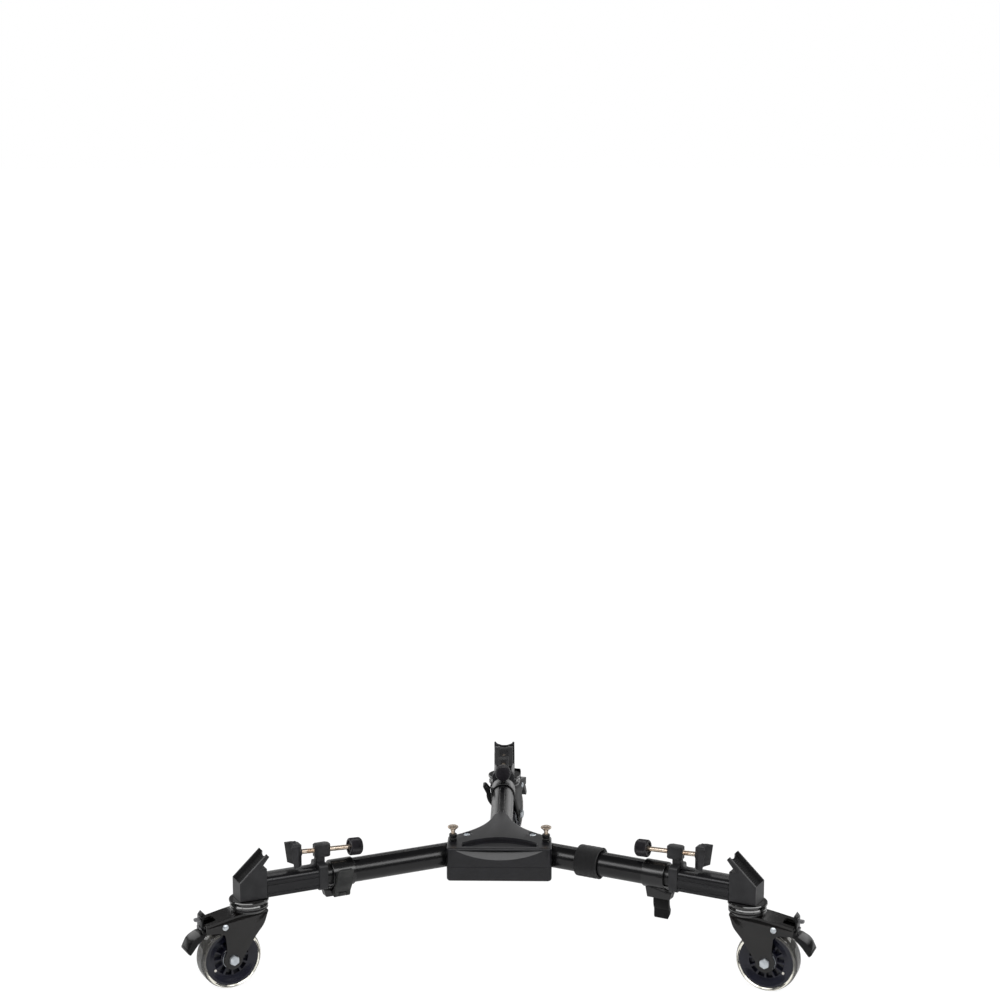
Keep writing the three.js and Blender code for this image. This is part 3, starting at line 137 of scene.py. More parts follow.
def slide_place(arm):
    return arm_place(arm, ARM_REACH[arm] + ARM_EXTENSION[arm])


def screw_place(arm):
    """The frame of a clamp screw, at the middle of its boss, tilted as the screw is."""
    return slide_place(arm) @ screw_seat()


def screw_seat():
    """The middle of the boss and the screw's tilt there."""
    return Matrix.Translation(SCREW_MIDDLE) @ Matrix.Rotation(radians(-SCREW_TILT), 4, "Y")


def lever_place(arm):
    pin = Matrix.Translation(LEVER_PIN)
    return collar_place(arm) @ pin @ Matrix.Rotation(radians(LEVER_TURN[arm]), 4, "X")


def castor_place(arm):
    stem = Matrix.Translation(STEM_TOP)
    return slide_place(arm) @ stem @ Matrix.Rotation(radians(CASTOR_TURN[arm]), 4, "Z")


def base_body(arm):
    """The body that carries an arm's outer tube."""
    return "hub" if arm == "rear" else arm + "_arm"


# Mesh helpers, all in millimetres


def rounded(corners, radius, steps=5):
    """The outline through the corners with each one rounded. A corner may carry its own radius."""
    out = []
    count = len(corners)
    for i, corner in enumerate(corners):
        here = Vector(corner[:2])
        before = Vector(corners[i - 1][:2]) - here
        after = Vector(corners[(i + 1) % count][:2]) - here
        size = corner[2] if len(corner) > 2 else radius
        size = min(size, before.length * 0.49, after.length * 0.49)
        if size < 0.05:
            out.append(here)
            continue
        a = here + before.normalized() * size
        b = here + after.normalized() * size
        for k in range(steps + 1):
            t = k / steps
            out.append(a * (1 - t) ** 2 + here * 2 * t * (1 - t) + b * t**2)
    return out


def verts_of(made):
    """The vertices in what a mesh operation returned."""
    return [g for g in made["geom"] if isinstance(g, bmesh.types.BMVert)]


def drawn_out(bm, edges, step):
    """Draws the edges out by a step and returns the new ones."""
    out = bmesh.ops.extrude_edge_only(bm, edges=edges)
    fresh = verts_of(out)
    bmesh.ops.translate(bm, verts=fresh, vec=step)
    lines = [g for g in out["geom"] if isinstance(g, bmesh.types.BMEdge)]
    return [e for e in lines if all(v in fresh for v in e.verts)]


def sliced(bm, height, **choices):
    """Cuts a level line through the mesh, or with clear_outer all above it away."""
    geometry = bm.verts[:] + bm.edges[:] + bm.faces[:]
    return bmesh.ops.bisect_plane(
        bm, geom=geometry, plane_co=(0, 0, height), plane_no=(0, 0, 1), **choices
    )


def on_side(side, near, far):
    """The span from near to far on one side, lower end first."""
    return sorted((side * near, side * far))


def round_rims(obj, width):
    """Gives a carved piece fine round edges."""
    bevel = obj.modifiers.new("round rims", "BEVEL")
    bevel.width = width * MM
    bevel.segments = 2
    bevel.limit_method = "ANGLE"
    bevel.angle_limit = radians(35)


def prism(outline, low, high, plane="xy"):
    """A flat outline given thickness. In plane xz it runs across Y, in yz along X."""
    bm = bmesh.new()
    face = bm.faces.new([bm.verts.new((p[0], p[1], low)) for p in outline])
    made = bmesh.ops.extrude_face_region(bm, geom=[face], use_keep_orig=True)
    bmesh.ops.translate(bm, verts=verts_of(made), vec=(0, 0, high - low))
    if plane == "xz":
        bm.transform(Y_FOR_Z)
    if plane == "yz":
        bm.transform(AXES_ON)
    return agreed(bm)


def agreed(bm):
    """Makes the faces agree on which side is out."""
    bmesh.ops.recalc_face_normals(bm, faces=bm.faces)
    return bm


def spun(profile, sides, axis="x", closed=True, at=(0, 0, 0)):
    """A profile of (radius, place) turned right round an axis."""
    spots = {"x": lambda r, p: (p, 0, r), "y": lambda r, p: (r, p, 0), "z": lambda r, p: (r, 0, p)}
    ways = {"x": (1, 0, 0), "y": (0, 1, 0), "z": (0, 0, 1)}
    bm = bmesh.new()
    verts = [bm.verts.new(spots[axis](max(r, 0), p)) for r, p in profile]
    edges = [bm.edges.new(pair) for pair in zip(verts, verts[1:])]
    if closed and profile[0][0] > 0:
        edges.append(bm.edges.new((verts[-1], verts[0])))
    bmesh.ops.spin(
        bm,
        geom=verts + edges,
        cent=(0, 0, 0),
        axis=ways[axis],
        angle=2 * pi,
        steps=sides,
        use_merge=True,
        use_duplicate=False,
    )
    bmesh.ops.remove_doubles(bm, verts=bm.verts, dist=1e-4)
    agreed(bm)
    bmesh.ops.translate(bm, verts=bm.verts, vec=at)
    return bm


def rounded_profile(points, radius):
    """A (radius, place) profile with its corners rounded, leaving the ends on the axis alone."""
    marked = [(r, p, 0.0 if r <= 0 else radius) for r, p in points]
    return [(p.x, p.y) for p in rounded(marked, radius, 3)]


def soften(bm, width, segments=3, angle=30):
    """Bevels the edges that turn by more than the angle."""
    sharp = [e for e in bm.edges if len(e.link_faces) == 2 and e.calc_face_angle(0) > radians(angle)]
    return bevelled(bm, sharp, width, segments)


def bevelled(bm, edges, width, segments):
    bmesh.ops.bevel(
        bm,
        geom=edges,
        offset=width,
        offset_type="OFFSET",
        segments=segments,
        profile=0.5,
        affect="EDGES",
        material=-1,
        clamp_overlap=True,
    )
    return bm


def outward(bm):
    """Turns the faces round where they look into the solid."""
    if bm.calc_volume(signed=True) < 0:
        bmesh.ops.reverse_faces(bm, faces=bm.faces)
    return bm


def joined(*parts):
    """One mesh of several parts."""
    whole = bmesh.new()
    for part in parts:
        mesh = bpy.data.meshes.new("part")
        outward(part).to_mesh(mesh)
        part.free()
        whole.from_mesh(mesh)
        bpy.data.meshes.remove(mesh)
    return whole


def bar(radius, start, end, axis="x", at=(0, 0, 0), sides=48, round_by=0.5):
    """A round bar with softened ends."""
    r = min(round_by, radius * 0.45)
    profile = [(0, start), (radius - r, start), (radius - r * 0.3, start + r * 0.3), (radius, start + r)]
    profile += [(radius, end - r), (radius - r * 0.3, end - r * 0.3), (radius - r, end), (0, end)]
    return spun(profile, sides, axis, False, at)


def hexagon(radius, start, end, axis, at):
    """A hexagonal head with its corners turned down."""
    spokes = [radians(60 * i + 30) for i in range(6)]
    head = prism([(radius * cos(a), radius * sin(a)) for a in spokes], start, end)
    soften(head, 0.5, 2)
    if axis == "y":
        head.transform(Y_FOR_Z)
    bmesh.ops.translate(head, verts=head.verts, vec=at)
    return agreed(head)


def make_object(name, bm, crease=32, keep_normals=False):
    mesh = bpy.data.meshes.new(name)
    if not keep_normals:
        agreed(bm)
    bm.to_mesh(mesh)
    bm.free()
    mesh.shade_smooth()
    mesh.set_sharp_from_angle(angle=radians(crease))
    obj = bpy.data.objects.new(name, mesh)
    bpy.context.scene.collection.objects.link(obj)
    return obj


def carved(bm, *cutters):
    """The mesh with the cutters' shapes taken out of it."""
    body = make_object("carving", bm)
    tools = [make_object("cutter", outward(cutter), keep_normals=True) for cutter in cutters]
    for tool in tools:
        cut = body.modifiers.new("cut", "BOOLEAN")
        cut.operation = "DIFFERENCE"
        cut.solver = "EXACT"
        cut.object = tool
    bpy.context.view_layer.update()
    result = bmesh.new()
    result.from_object(body, bpy.context.evaluated_depsgraph_get())
    for used in [body, *tools]:
        mesh = used.data
        bpy.data.objects.remove(used)
        bpy.data.meshes.remove(mesh)
    bmesh.ops.remove_doubles(result, verts=result.verts, dist=1e-4)
    return result


def finish_piece(name, bm, place, finish, body, nodes=(), slot=None, crease=32):
    """Places a mesh drawn in millimetres and makes it a piece that stands for its solids.

    Its own coordinates, in metres, are kept as the attribute grain for its material. Where two finishes
    are named, the second is for the faces marked 1.
    """
    grain = bm.verts.layers.float_vector.new("grain")
    for vert in bm.verts:
        vert[grain] = vert.co * MM
    outward(agreed(bm)).transform(place)
    obj = make_object(name, bm, crease, keep_normals=True)
    for key in finish.split(", "):
        obj.data.materials.append(finish_named(key))
    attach(obj, body)
    if nodes:
        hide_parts(*nodes)
    return obj


def dress(arm, place, body, name, make, finish, solid=None, slot=None):
    """Builds one piece of an arm. Its body and solid bear the arm's name too."""
    finish = OTHER_FINISHES.get((arm, finish), finish)
    nodes = [f"{arm}_{solid}"] if solid else []
    return finish_piece(f"{arm}_{name}", make(), place, finish, f"{arm}_{body}", nodes, slot)


def refinish(node, finish):
    """Gives a finish to a solid that is shown as it is."""
    solid = frame["nodes"][node]
    solid.data.materials.clear()
    solid.data.materials.append(finish)


# Materials


def linear(colour):
    """An sRGB colour of 0 to 255 as the shader's linear one."""
    shares = [c / 255 for c in colour]
    return (*[s / 12.92 if s <= 0.04045 else ((s + 0.055) / 1.055) ** 2.4 for s in shares], 1)


def set_inputs(node, **values):
    for key, value in values.items():
        node.inputs[key.replace("_", " ")].default_value = value
    return node


def add_node(tree, kind, **values):
    """A new shader node with some of its inputs set."""
    return set_inputs(tree.nodes.new("ShaderNode" + kind), **values)


class Finish:
    """A node material that is being put together."""

    def __init__(self, name):
        self.material = bpy.data.materials.new(name)
        self.material.use_nodes = True
        self.tree = self.material.node_tree
        self.shader = self.tree.nodes["Principled BSDF"]
        self.place = self.node("Attribute")
        self.place.attribute_name = "grain"

    def node(self, kind, **values):
        return add_node(self.tree, kind, **values)

    def set(self, **values):
        set_inputs(self.shader, **values)

    def link(self, out, into):
        self.tree.links.new(out, into)

    def noise(self, scale, detail, stretch=(1, 1, 1)):
        spread = self.node("Mapping", Scale=stretch)
        self.link(self.place.outputs["Vector"], spread.inputs["Vector"])
        noise = self.node("TexNoise", Scale=scale, Detail=detail, Roughness=0.55)
        self.link(spread.outputs["Vector"], noise.inputs["Vector"])
        return noise.outputs["Fac"]

    def colours(self, value, dark, light):
        ramp = self.node("ValToRGB")
        for stop, place, colour in zip(ramp.color_ramp.elements, (0.3, 0.7), (dark, light)):
            stop.position = place
            stop.color = linear(colour)
        self.link(value, ramp.inputs["Fac"])
        self.link(ramp.outputs["Color"], self.shader.inputs["Base Color"])

    def roughness(self, value, smooth, rough):
        spread = self.node("MapRange", To_Min=smooth, To_Max=rough)
        self.link(value, spread.inputs["Value"])
        self.link(spread.outputs["Result"], self.shader.inputs["Roughness"])

    def bump(self, value, distance, strength):
        bump = self.node("Bump", Distance=distance, Strength=strength)
        earlier = self.shader.inputs["Normal"].links
        if earlier:
            self.link(earlier[0].from_socket, bump.inputs["Normal"])
        self.link(value, bump.inputs["Height"])
        self.link(bump.outputs["Normal"], self.shader.inputs["Normal"])


def moulded_plastic(name, dark, light, rough, gleam=0.45):
    """Matte moulded plastic with a spark-eroded grain."""
    f = Finish(name)
    f.set(Specular_IOR_Level=gleam)
    f.colours(f.noise(60, 5), dark, light)
    f.roughness(f.noise(180, 3), *rough)
    f.bump(f.noise(2600, 2), 0.00002, 0.3)
    f.bump(f.noise(240, 3), 0.00005, 0.25)
    return f.material


def gloss_paint(name, dark, light, rough, coat=0.0, gleam=0.5):
    """Glossy powder coat with a slight orange peel and handling haze."""
    f = Finish(name)
    f.set(Coat_Weight=coat, Coat_Roughness=0.06, Specular_IOR_Level=gleam)
    f.colours(f.noise(45, 4), dark, light)
    f.roughness(f.noise(70, 5), *rough)
    f.bump(f.noise(700, 2), 0.00003, 0.35)
    return f.material


def drawn_metal(name, dark, light, rough):
    """Black anodised aluminium with fine die lines along the arm."""
    f = Finish(name)
    f.set(Metallic=0.35, Specular_IOR_Level=0.5)
    lines = f.noise(900, 3, (0.012, 1, 1))
    f.colours(f.noise(300, 4, (0.03, 1, 1)), dark, light)
    f.roughness(lines, *rough)
    f.bump(lines, 0.00002, 0.5)
    return f.material


def bright_metal(name, dark, light, rough):
    """Plated steel with fine handling marks."""
    f = Finish(name)
    f.set(Metallic=0.85, Specular_IOR_Level=0.8)
    f.colours(f.noise(150, 5), dark, light)
    f.roughness(f.noise(420, 4), *rough)
    f.bump(f.noise(1500, 2), 0.00001, 0.4)
    return f.material


def clear_tread(name, shade, light):
    """Clear polyurethane, faintly cream, that shows the wheel centre through it."""
    f = Finish(name)
    f.set(Transmission_Weight=0.95, IOR=1.45, Specular_IOR_Level=0.2)
    f.colours(f.noise(90, 3), shade, light)
    f.roughness(f.noise(240, 4), 0.04, 0.1)
    f.bump(f.noise(400, 3), 0.00003, 0.25)
    return f.material


def strap_fabric(name, dark, light):
    """Black hook-and-loop tape: a loop pile with a faint lengthwise weave."""
    f = Finish(name)
    f.set(Sheen_Weight=0.25, Sheen_Roughness=0.5, Specular_IOR_Level=0.2)
    pile = f.noise(2200, 4)
    f.colours(pile, dark, light)
    f.roughness(f.noise(300, 3), 0.85, 0.98)
    wave = f.node("TexWave", Scale=260, Distortion=1.5)
    wave.bands_direction = "X"
    f.link(f.place.outputs["Vector"], wave.inputs["Vector"])
    f.bump(wave.outputs["Fac"], 0.0002, 0.5)
    f.bump(pile, 0.0005, 0.8)
    return f.material


def solid_finish(name, dark, light, metallic=0.0):
    """A finish for a solid that is shown as it is, with Object coordinates."""
    f = Finish(name)
    f.tree.nodes.remove(f.place)
    noise = f.node("TexNoise", Scale=300)
    f.link(f.node("TexCoord").outputs["Object"], noise.inputs["Vector"])
    f.set(Metallic=metallic)
    f.colours(noise.outputs["Fac"], dark, light)
    f.roughness(noise.outputs["Fac"], 0.3, 0.5)
    f.bump(noise.outputs["Fac"], 0.00005, 0.4)
    return f.material


# Each finish: its maker and name, its dark and its light colour, its roughness from and to, and for a
# plastic its gleam, for a paint its coat and gleam
FINISHES = {
    "hub": (moulded_plastic, "hub plastic", (15, 15, 18), (24, 24, 28), (0.26, 0.34), 0.5),
    "casting": (moulded_plastic, "casting grey", (28, 28, 30), (44, 44, 46), (0.34, 0.46), 0.4),
    # The channel floor's colour, darker than the casting: painted shade in the ribbed channel
    "liner": (moulded_plastic, "channel liner", (8, 8, 9), (20, 20, 21), (0.5, 0.62), 0.15),
    "knob": (moulded_plastic, "knob black", (16, 14, 18), (30, 27, 33), (0.34, 0.46), 0.35),
    "pedal": (moulded_plastic, "pedal black", (5, 5, 6), (10, 10, 11), (0.2, 0.3), 0.3),
    "bushing": (moulded_plastic, "bushing black", (9, 9, 10), (17, 17, 20), (0.2, 0.32)),
    # The lever's two finishes are lit and shaded copies of one part: grey for the lit lever, near black
    # as painted shade
    "lever": (moulded_plastic, "lever grey", (38, 39, 39), (62, 63, 62), (0.36, 0.48), 0.3),
    "shade-painted lever": (moulded_plastic, "lever black in painted shade", (7, 7, 8), (14, 14, 15), (0.3, 0.42), 0.2),
    # The pale colour of the small disc on each face of the wheel
    "disc": (moulded_plastic, "pale plug", (214, 210, 200), (236, 232, 224), (0.3, 0.4)),
    "tube": (gloss_paint, "tube black", (8, 8, 9), (14, 14, 16), (0.2, 0.28)),
    "collar": (gloss_paint, "collar black", (9, 9, 10), (15, 15, 16), (0.18, 0.27), 0.0, 0.7),
    "fork": (gloss_paint, "fork black", (8, 7, 7), (17, 15, 14), (0.1, 0.17), 0.25, 0.5),
    # A darker, duller copy of the fork finish: painted shade on the rear castor's fork
    "shade-painted rear fork": (gloss_paint, "shade-painted rear fork black", (5, 5, 5), (9, 9, 9), (0.25, 0.35), 0.0, 0.1),
    "inner": (gloss_paint, "inner tube", (12, 12, 13), (20, 20, 21), (0.2, 0.3)),
    "race": (gloss_paint, "race black", (5, 5, 6), (9, 9, 10), (0.06, 0.12), 0.7, 0.8),
    "core": (gloss_paint, "core black", (16, 17, 28), (28, 29, 42), (0.16, 0.26)),
    "tray": (drawn_metal, "tray black", (24, 24, 26), (38, 38, 40), (0.2, 0.3)),
    "nickel": (bright_metal, "warm nickel", (190, 166, 142), (240, 226, 210), (0.14, 0.28)),
    "silver": (bright_metal, "bright zinc", (196, 202, 208), (232, 238, 242), (0.25, 0.42)),
    "steel": (bright_metal, "grey steel", (120, 120, 122), (150, 150, 152), (0.3, 0.45)),
    "tyre": (clear_tread, "clear tread", (238, 234, 220), (250, 248, 238)),
    "strap": (strap_fabric, "strap tape", (12, 12, 13), (28, 28, 29)),
}

# Pieces of one arm given a darker copy of the others' finish: painted shade on the right and rear levers
# and the rear fork
OTHER_FINISHES = {
    ("right", "lever"): "shade-painted lever",
    ("rear", "lever"): "shade-painted lever",
    ("rear", "fork"): "shade-painted rear fork",
}

# The finishes made so far
MADE = {}


def finish_named(key):
    """The finish of that name, made when it is first asked for."""
    if key not in MADE:
        maker, *values = FINISHES[key]
        MADE[key] = maker(*values)
    return MADE[key]


# Hub


def hub_outline():
    """The hub's plan: a straight front, short sides, and flanks that run in to a tongue at the rear."""
    wide, front, waist, tip = 66, -62, -14, 87
    flank_steps, tip_steps = 20, 8
    half = [(wide, front, 6), (wide, waist, 2)]
    a, b, c, d = Vector((wide, waist)), Vector((38.3, 7)), Vector((17.2, 31.3)), Vector((11, 71))
    for k in range(1, flank_steps + 1):
        t = k / flank_steps
        p = a * (1 - t) ** 3 + b * 3 * t * (1 - t) ** 2 + c * 3 * t**2 * (1 - t) + d * t**3
        half.append((p.x, p.y, 0.0))
    for k in range(1, tip_steps):
        t = k / tip_steps
        p = d * (1 - t) ** 2 + Vector((8.2, tip)) * 2 * t * (1 - t) + Vector((0, tip)) * t**2
        half.append((p.x, p.y, 0.0))
    return rounded(half + [(0, tip, 0.0)] + [(-x, y, r) for x, y, r in reversed(half)], 2)


def fold_pivot(side):
    a = radians(ARM_ANGLE["right"])
    aside = PIVOT_ALONG * cos(a) - PIVOT_ASIDE * sin(a)
    return Vector((side * aside, PIVOT_ALONG * sin(a) + PIVOT_ASIDE * cos(a), 0))


def arm_sweep(side):
    """The space that a front arm needs in the hub as it folds: layers, the widest in the middle."""
    radius, offset, eye, far, layers = TUBE_ROOM, PIVOT_ASIDE, 10.4, 132.0, 18
    rest = ARM_ANGLE["right"]

    def way(angle, length):
        return Vector((cos(radians(angle)) * length, sin(radians(angle)) * length, 0))

    def outline(reach):
        lane = way(rest - 90, offset + reach)
        meet = degrees(acos((offset - reach) / (offset + reach)))
        points = [lane + way(rest, far), way(31.25, 2 * far), Vector((offset - reach, far, 0))]
        points += [way(meet + (90 - meet) * k / 4, offset + reach) for k in range(5)]
        points += [way(90 + 138.5 * k / 16, eye) for k in range(17)]
        return points + [way(-131.5 + 14 * k / 3, offset + reach) for k in range(4)]

    bm = bmesh.new()
    rings = []
    for layer in range(layers + 1):
        turn = radians(-90 + 180 * layer / layers)
        lift = Vector((0, 0, radius * sin(turn)))
        rings.append([bm.verts.new(p + lift) for p in outline(radius * max(cos(turn), 1e-4))])
    for before, after in zip(rings, rings[1:]):
        for i, corner in enumerate(before):
            j = (i + 1) % len(before)
            bm.faces.new((corner, before[j], after[j], after[i]))
    bm.faces.new(rings[0])
    bm.faces.new(rings[-1])
    bmesh.ops.translate(bm, verts=bm.verts, vec=fold_pivot(1))
    bmesh.ops.scale(bm, vec=(side, 1, 1), verts=bm.verts)
    return agreed(bm)


def pin_place(side):
    a = radians(ARM_ANGLE["right"])
    return Vector((side * PIN_ALONG * cos(a), PIN_ALONG * sin(a), 0))


def rear_bore():
    return bar(TUBE_ROOM, 21.6, 95, "y", sides=64, round_by=SHARP)


def stepped_hole(wide, narrow, step, at):
    """A cutter for a bolt hole from below with a wider sink for its head."""
    below = HUB_UNDERSIDE - 6
    profile = [(0, below), (wide, below), (wide, step), (narrow, step), (narrow, 0), (0, 0)]
    return spun(profile, 48, "z", False, at)


def hub_recess():
    """A cutter for the lens-shaped recess, with its rim flared and moved back a little."""
    half, front, back, middle, steps = 47, -53.6, -40, -45, 24
    floor, flare = 12.2, 15.4
    lens = [(-half, front, 1.5), (half, front, 1.5), (half, back, 1.0)]
    for k in range(1, steps):
        t = k / steps
        lens.append((half * (1 - 2 * t), back * ((1 - t) ** 2 + t**2), 0.0))
    lens.append((-half, back, 1.0))
    recess = prism(rounded(lens, 1.5), floor, ABOVE_HUB)
    for height in (flare, HUB_TOP):
        sliced(recess, height)
    for vert in recess.verts:
        if vert.co.z > HUB_TOP - 0.1:
            vert.co.x *= 1.02
            vert.co.y = middle + (vert.co.y - middle) * 1.1 + 0.4
    return recess


def hub_scoop():
    """A cutter for the dip in front of the recess: a flat round body that stops under a thin lip."""
    scoop = bmesh.new()
    bmesh.ops.create_uvsphere(scoop, u_segments=192, v_segments=96, radius=1)
    bmesh.ops.scale(scoop, vec=(168, 110, 110), verts=scoop.verts)
    bmesh.ops.translate(scoop, vec=(0, -154.7, 61.3), verts=scoop.verts)
    cut = sliced(scoop, 14.4, clear_outer=True)
    rim = [g for g in cut["geom_cut"] if isinstance(g, bmesh.types.BMEdge)]
    bmesh.ops.contextual_create(scoop, geom=rim)
    return scoop


def make_hub_cover():
    edge, well, well_rim, bore = 1.8, 5.4, 6.8, 4.3
    shell = prism(hub_outline(), COVER_BOTTOM, HUB_TOP)
    top = [e for e in shell.edges if all(v.co.z > HUB_TOP - 0.1 for v in e.verts)]
    bevelled(shell, top, edge, 4)
    profile = [(0, 0), (well, 0), (well, 15.6), (well_rim, HUB_TOP)]
    profile += [(well_rim, ABOVE_HUB), (0, ABOVE_HUB)]
    wells = [spun(profile, 48, "z", False, fold_pivot(side)) for side in (-1, 1)]
    bores = [bar(bore, 0, ABOVE_HUB, "z", at=pin_place(side), round_by=SHARP) for side in (-1, 1)]
    sweeps = [arm_sweep(side) for side in (-1, 1)]
    return carved(shell, hub_recess(), hub_scoop(), *wells, *bores, rear_bore(), *sweeps)


def make_hub_base():
    edge = 4.4
    shell = prism(hub_outline(), HUB_UNDERSIDE, BASE_TOP)
    low = [e for e in shell.edges if all(v.co.z < HUB_UNDERSIDE + 0.1 for v in e.verts)]
    bevelled(shell, low, edge, 7)
    nuts = [stepped_hole(wide=7.9, narrow=4.8, step=-20.3, at=fold_pivot(side)) for side in (-1, 1)]
    bolt = stepped_hole(wide=6.4, narrow=3.6, step=-20.5, at=(0, 38, 0))
    return carved(shell, *nuts, bolt, rear_bore(), arm_sweep(-1), arm_sweep(1))


def make_arm_pivot():
    """A button head with a hexagon socket, on a bolt with its nut below."""
    profile = [(0, 14.3), (4.4, 14.3), (4.4, 15.7), (3.9, 16.4), (2.2, 16.7), (2.0, 15.6), (0, 15.4)]
    head = spun(profile, 40, "z", False)
    shank = bar(4.5, -25, 14.5, "z", round_by=0.2)
    nut = hexagon(7.5, -25.3, -20.6, "z", (0, 0, 0))
    return joined(head, shank, nut)


def make_bushing():
    bore, low, high = 2.9, 17.3, 26.3
    profile = [(bore, low), (5, low), (5, 20.4), (4.6, 20.8), (4.6, 21.4), (5, 21.8), (5, 25.6)]
    return spun(rounded_profile([*profile, (4.4, high), (bore, high)], 0.25), 40, "z")


def make_lock_pin():
    profile = [(0, 15.7), (2.2, 15.7), (2.6, 16.2), (2.6, 30.6), (3.4, 30.7), (3.4, 32.2), (5.2, 32.9)]
    profile += [(6.6, 34.1), (6.8, 34.9), (6.5, 35.9), (5.2, 36.7), (3.0, 37.1), (0, 37.2)]
    return spun(profile, 48, "z", False)


# Arms


def make_outer_tube(arm):
    """A tube with two fine grooves along its top, and in a front arm a hole for the pull pin."""
    outer, inner, trim, hole = 15.0, 13.4, 0.3, 2.9
    groove_from, groove_to, groove_share = 13, 19, 0.955
    start, end = TUBE_START[arm], ARM_REACH[arm] + TUBE_PAST_REACH
    profile = [(inner, start), (outer - trim, start), (outer, start + trim), (outer, end - trim)]
    tube = spun([*profile, (outer - trim, end), (inner, end)], 120, "x")
    for vert in tube.verts:
        angle = degrees(atan2(vert.co.y, vert.co.z))
        if hypot(vert.co.y, vert.co.z) > outer - 0.4 and groove_from < abs(angle) < groove_to:
            vert.co.y *= groove_share
            vert.co.z *= groove_share
    if arm == "rear":
        return tube
    return carved(tube, bar(hole, 8, 18, "z", at=(PIN_ALONG, 0, 0), round_by=SHARP))


def make_inner_tube():
    outer, inner, start, end = 13, 11.4, -118, 47.2
    return spun([(inner, start), (outer, start), (outer, end), (inner, end)], 96, "x")


def make_collar():
    """The split clamp collar with its lug and the lever's ear."""
    profile = [(13.3, 10), (13.3, 29), (17, 29, 0.9), (17, 0, 0.9), (15.3, 0), (15.3, 10)]
    outline = rounded([(x, r, *rest) for r, x, *rest in profile], 0.3, 4)
    ring = spun([(p.y, p.x) for p in outline], 96, "x")
    side = rounded([(2, -12.8), (28.5, -12.8), (28.5, -18), (38, -18), (35, -28), (5, -28)], 1.2)
    lugs = [soften(prism(side, low, high, "xz"), 0.6, 2) for low, high in ((-8, -4), (-2, 4))]
    ear = bar(5, 13, 22, "x", at=LEVER_PIN)
    web = soften(prism(rounded([(3, -25), (10, -25), (10, -19), (3, -19)], 0.5), 13, 22, "yz"), 0.4, 2)
    return joined(ring, *lugs, ear, web)


def make_lever():
    """A leaf-shaped flip lever with rounded corners, drawn about its pin."""
    start, end, top = 7.5, 27.5, 34.5
    inner, outer, knuckle, pin_radius = 18.2, 21.8, 5, 2.2
    ear_start, ear_end = 12.7, 22.3

    def on(radius, angle):
        """A point on a circle about the tube's middle."""
        return radius * cos(radians(angle)) - LEVER_PIN[1], radius * sin(radians(angle)) - LEVER_PIN[2]

    points = [(0, 3.2, 1), (*on(inner, -52), 1)]
    points += [(*on(inner, a), 0) for a in range(-48, 8, 6)]
    points += [(*on(inner, 10), 2), (15, top, 1.2), (18.6, 32.7, 1.2)]
    points += [(*on(outer + 1.2, 0), 4)]
    points += [(*on(outer + 1.6, a), 0) for a in range(-6, -46, -8)]
    points += [(*on(outer + 2.4, -50), 3), (2, -5, 3), (-3, -3.5, 2)]
    paddle = prism(rounded(points, 1), start, end, "yz")
    trims = []
    for edge, size, way in ((end, 6.5, 1), (start, 4.5, -1)):
        middle = Vector((edge - way * size, top - size))
        turns = [radians(90 * k / 8) for k in range(9)]
        outline = [middle + Vector((way * cos(a), sin(a))) * size for a in turns]
        outline += [Vector((middle.x, top + 3)), Vector((edge + way * 3, top + 3))]
        outline.append(Vector((edge + way * 3, middle.y)))
        trims.append(prism(outline, -5, 25, "xz"))
    room = bar(knuckle + 0.5, ear_start, ear_end, "x")
    body = carved(paddle, room, *trims)
    soften(body, 0.7, 2, 50)
    spans = ((start, ear_start - 0.1), (ear_end + 0.1, end))
    knuckles = [bar(knuckle, low, high, "x") for low, high in spans]
    pin = bar(pin_radius, start - 0.6, end + 0.6, "x", sides=32)
    return joined(body, *knuckles, pin)


def make_tray():
    """A hollow extrusion with round shoulders, a fine groove under each, and an open end."""
    half, deep, start, end = 14.5, 12.5, 47.8, 113.8
    right = [(half - 5.5, deep, 0), (half - 2.0, 11.7, 1.5), (half - 0.3, 8.7, 1.5), (half, 6.2, 1)]
    right += [(half, 4.9, 0.2), (half - 1.0, 4.5, 0.2), (half - 1.0, 2.9, 0.2), (half, 2.5, 0.2)]
    right += [(half, -6.4, 0.2), (half - 0.7, -6.7, 0.2), (half - 0.7, -7.7, 0.2), (half, -8, 0.2)]
    right += [(half, -11.2, 1.2), (half - 1.6, -deep, 1.2)]
    left = [(-y, z, r) for y, z, r in reversed(right)]
    tray = prism(rounded([(0, deep, 0), *right, *left], 0.5, 4), start, end, "yz")
    wide, high = 10.8, 9.9
    hollow = rounded([(-wide, -high), (wide, -high), (wide, high), (-wide, high)], 2)
    return carved(tray, prism(hollow, start - 7.8, end + 6.2, "yz"))


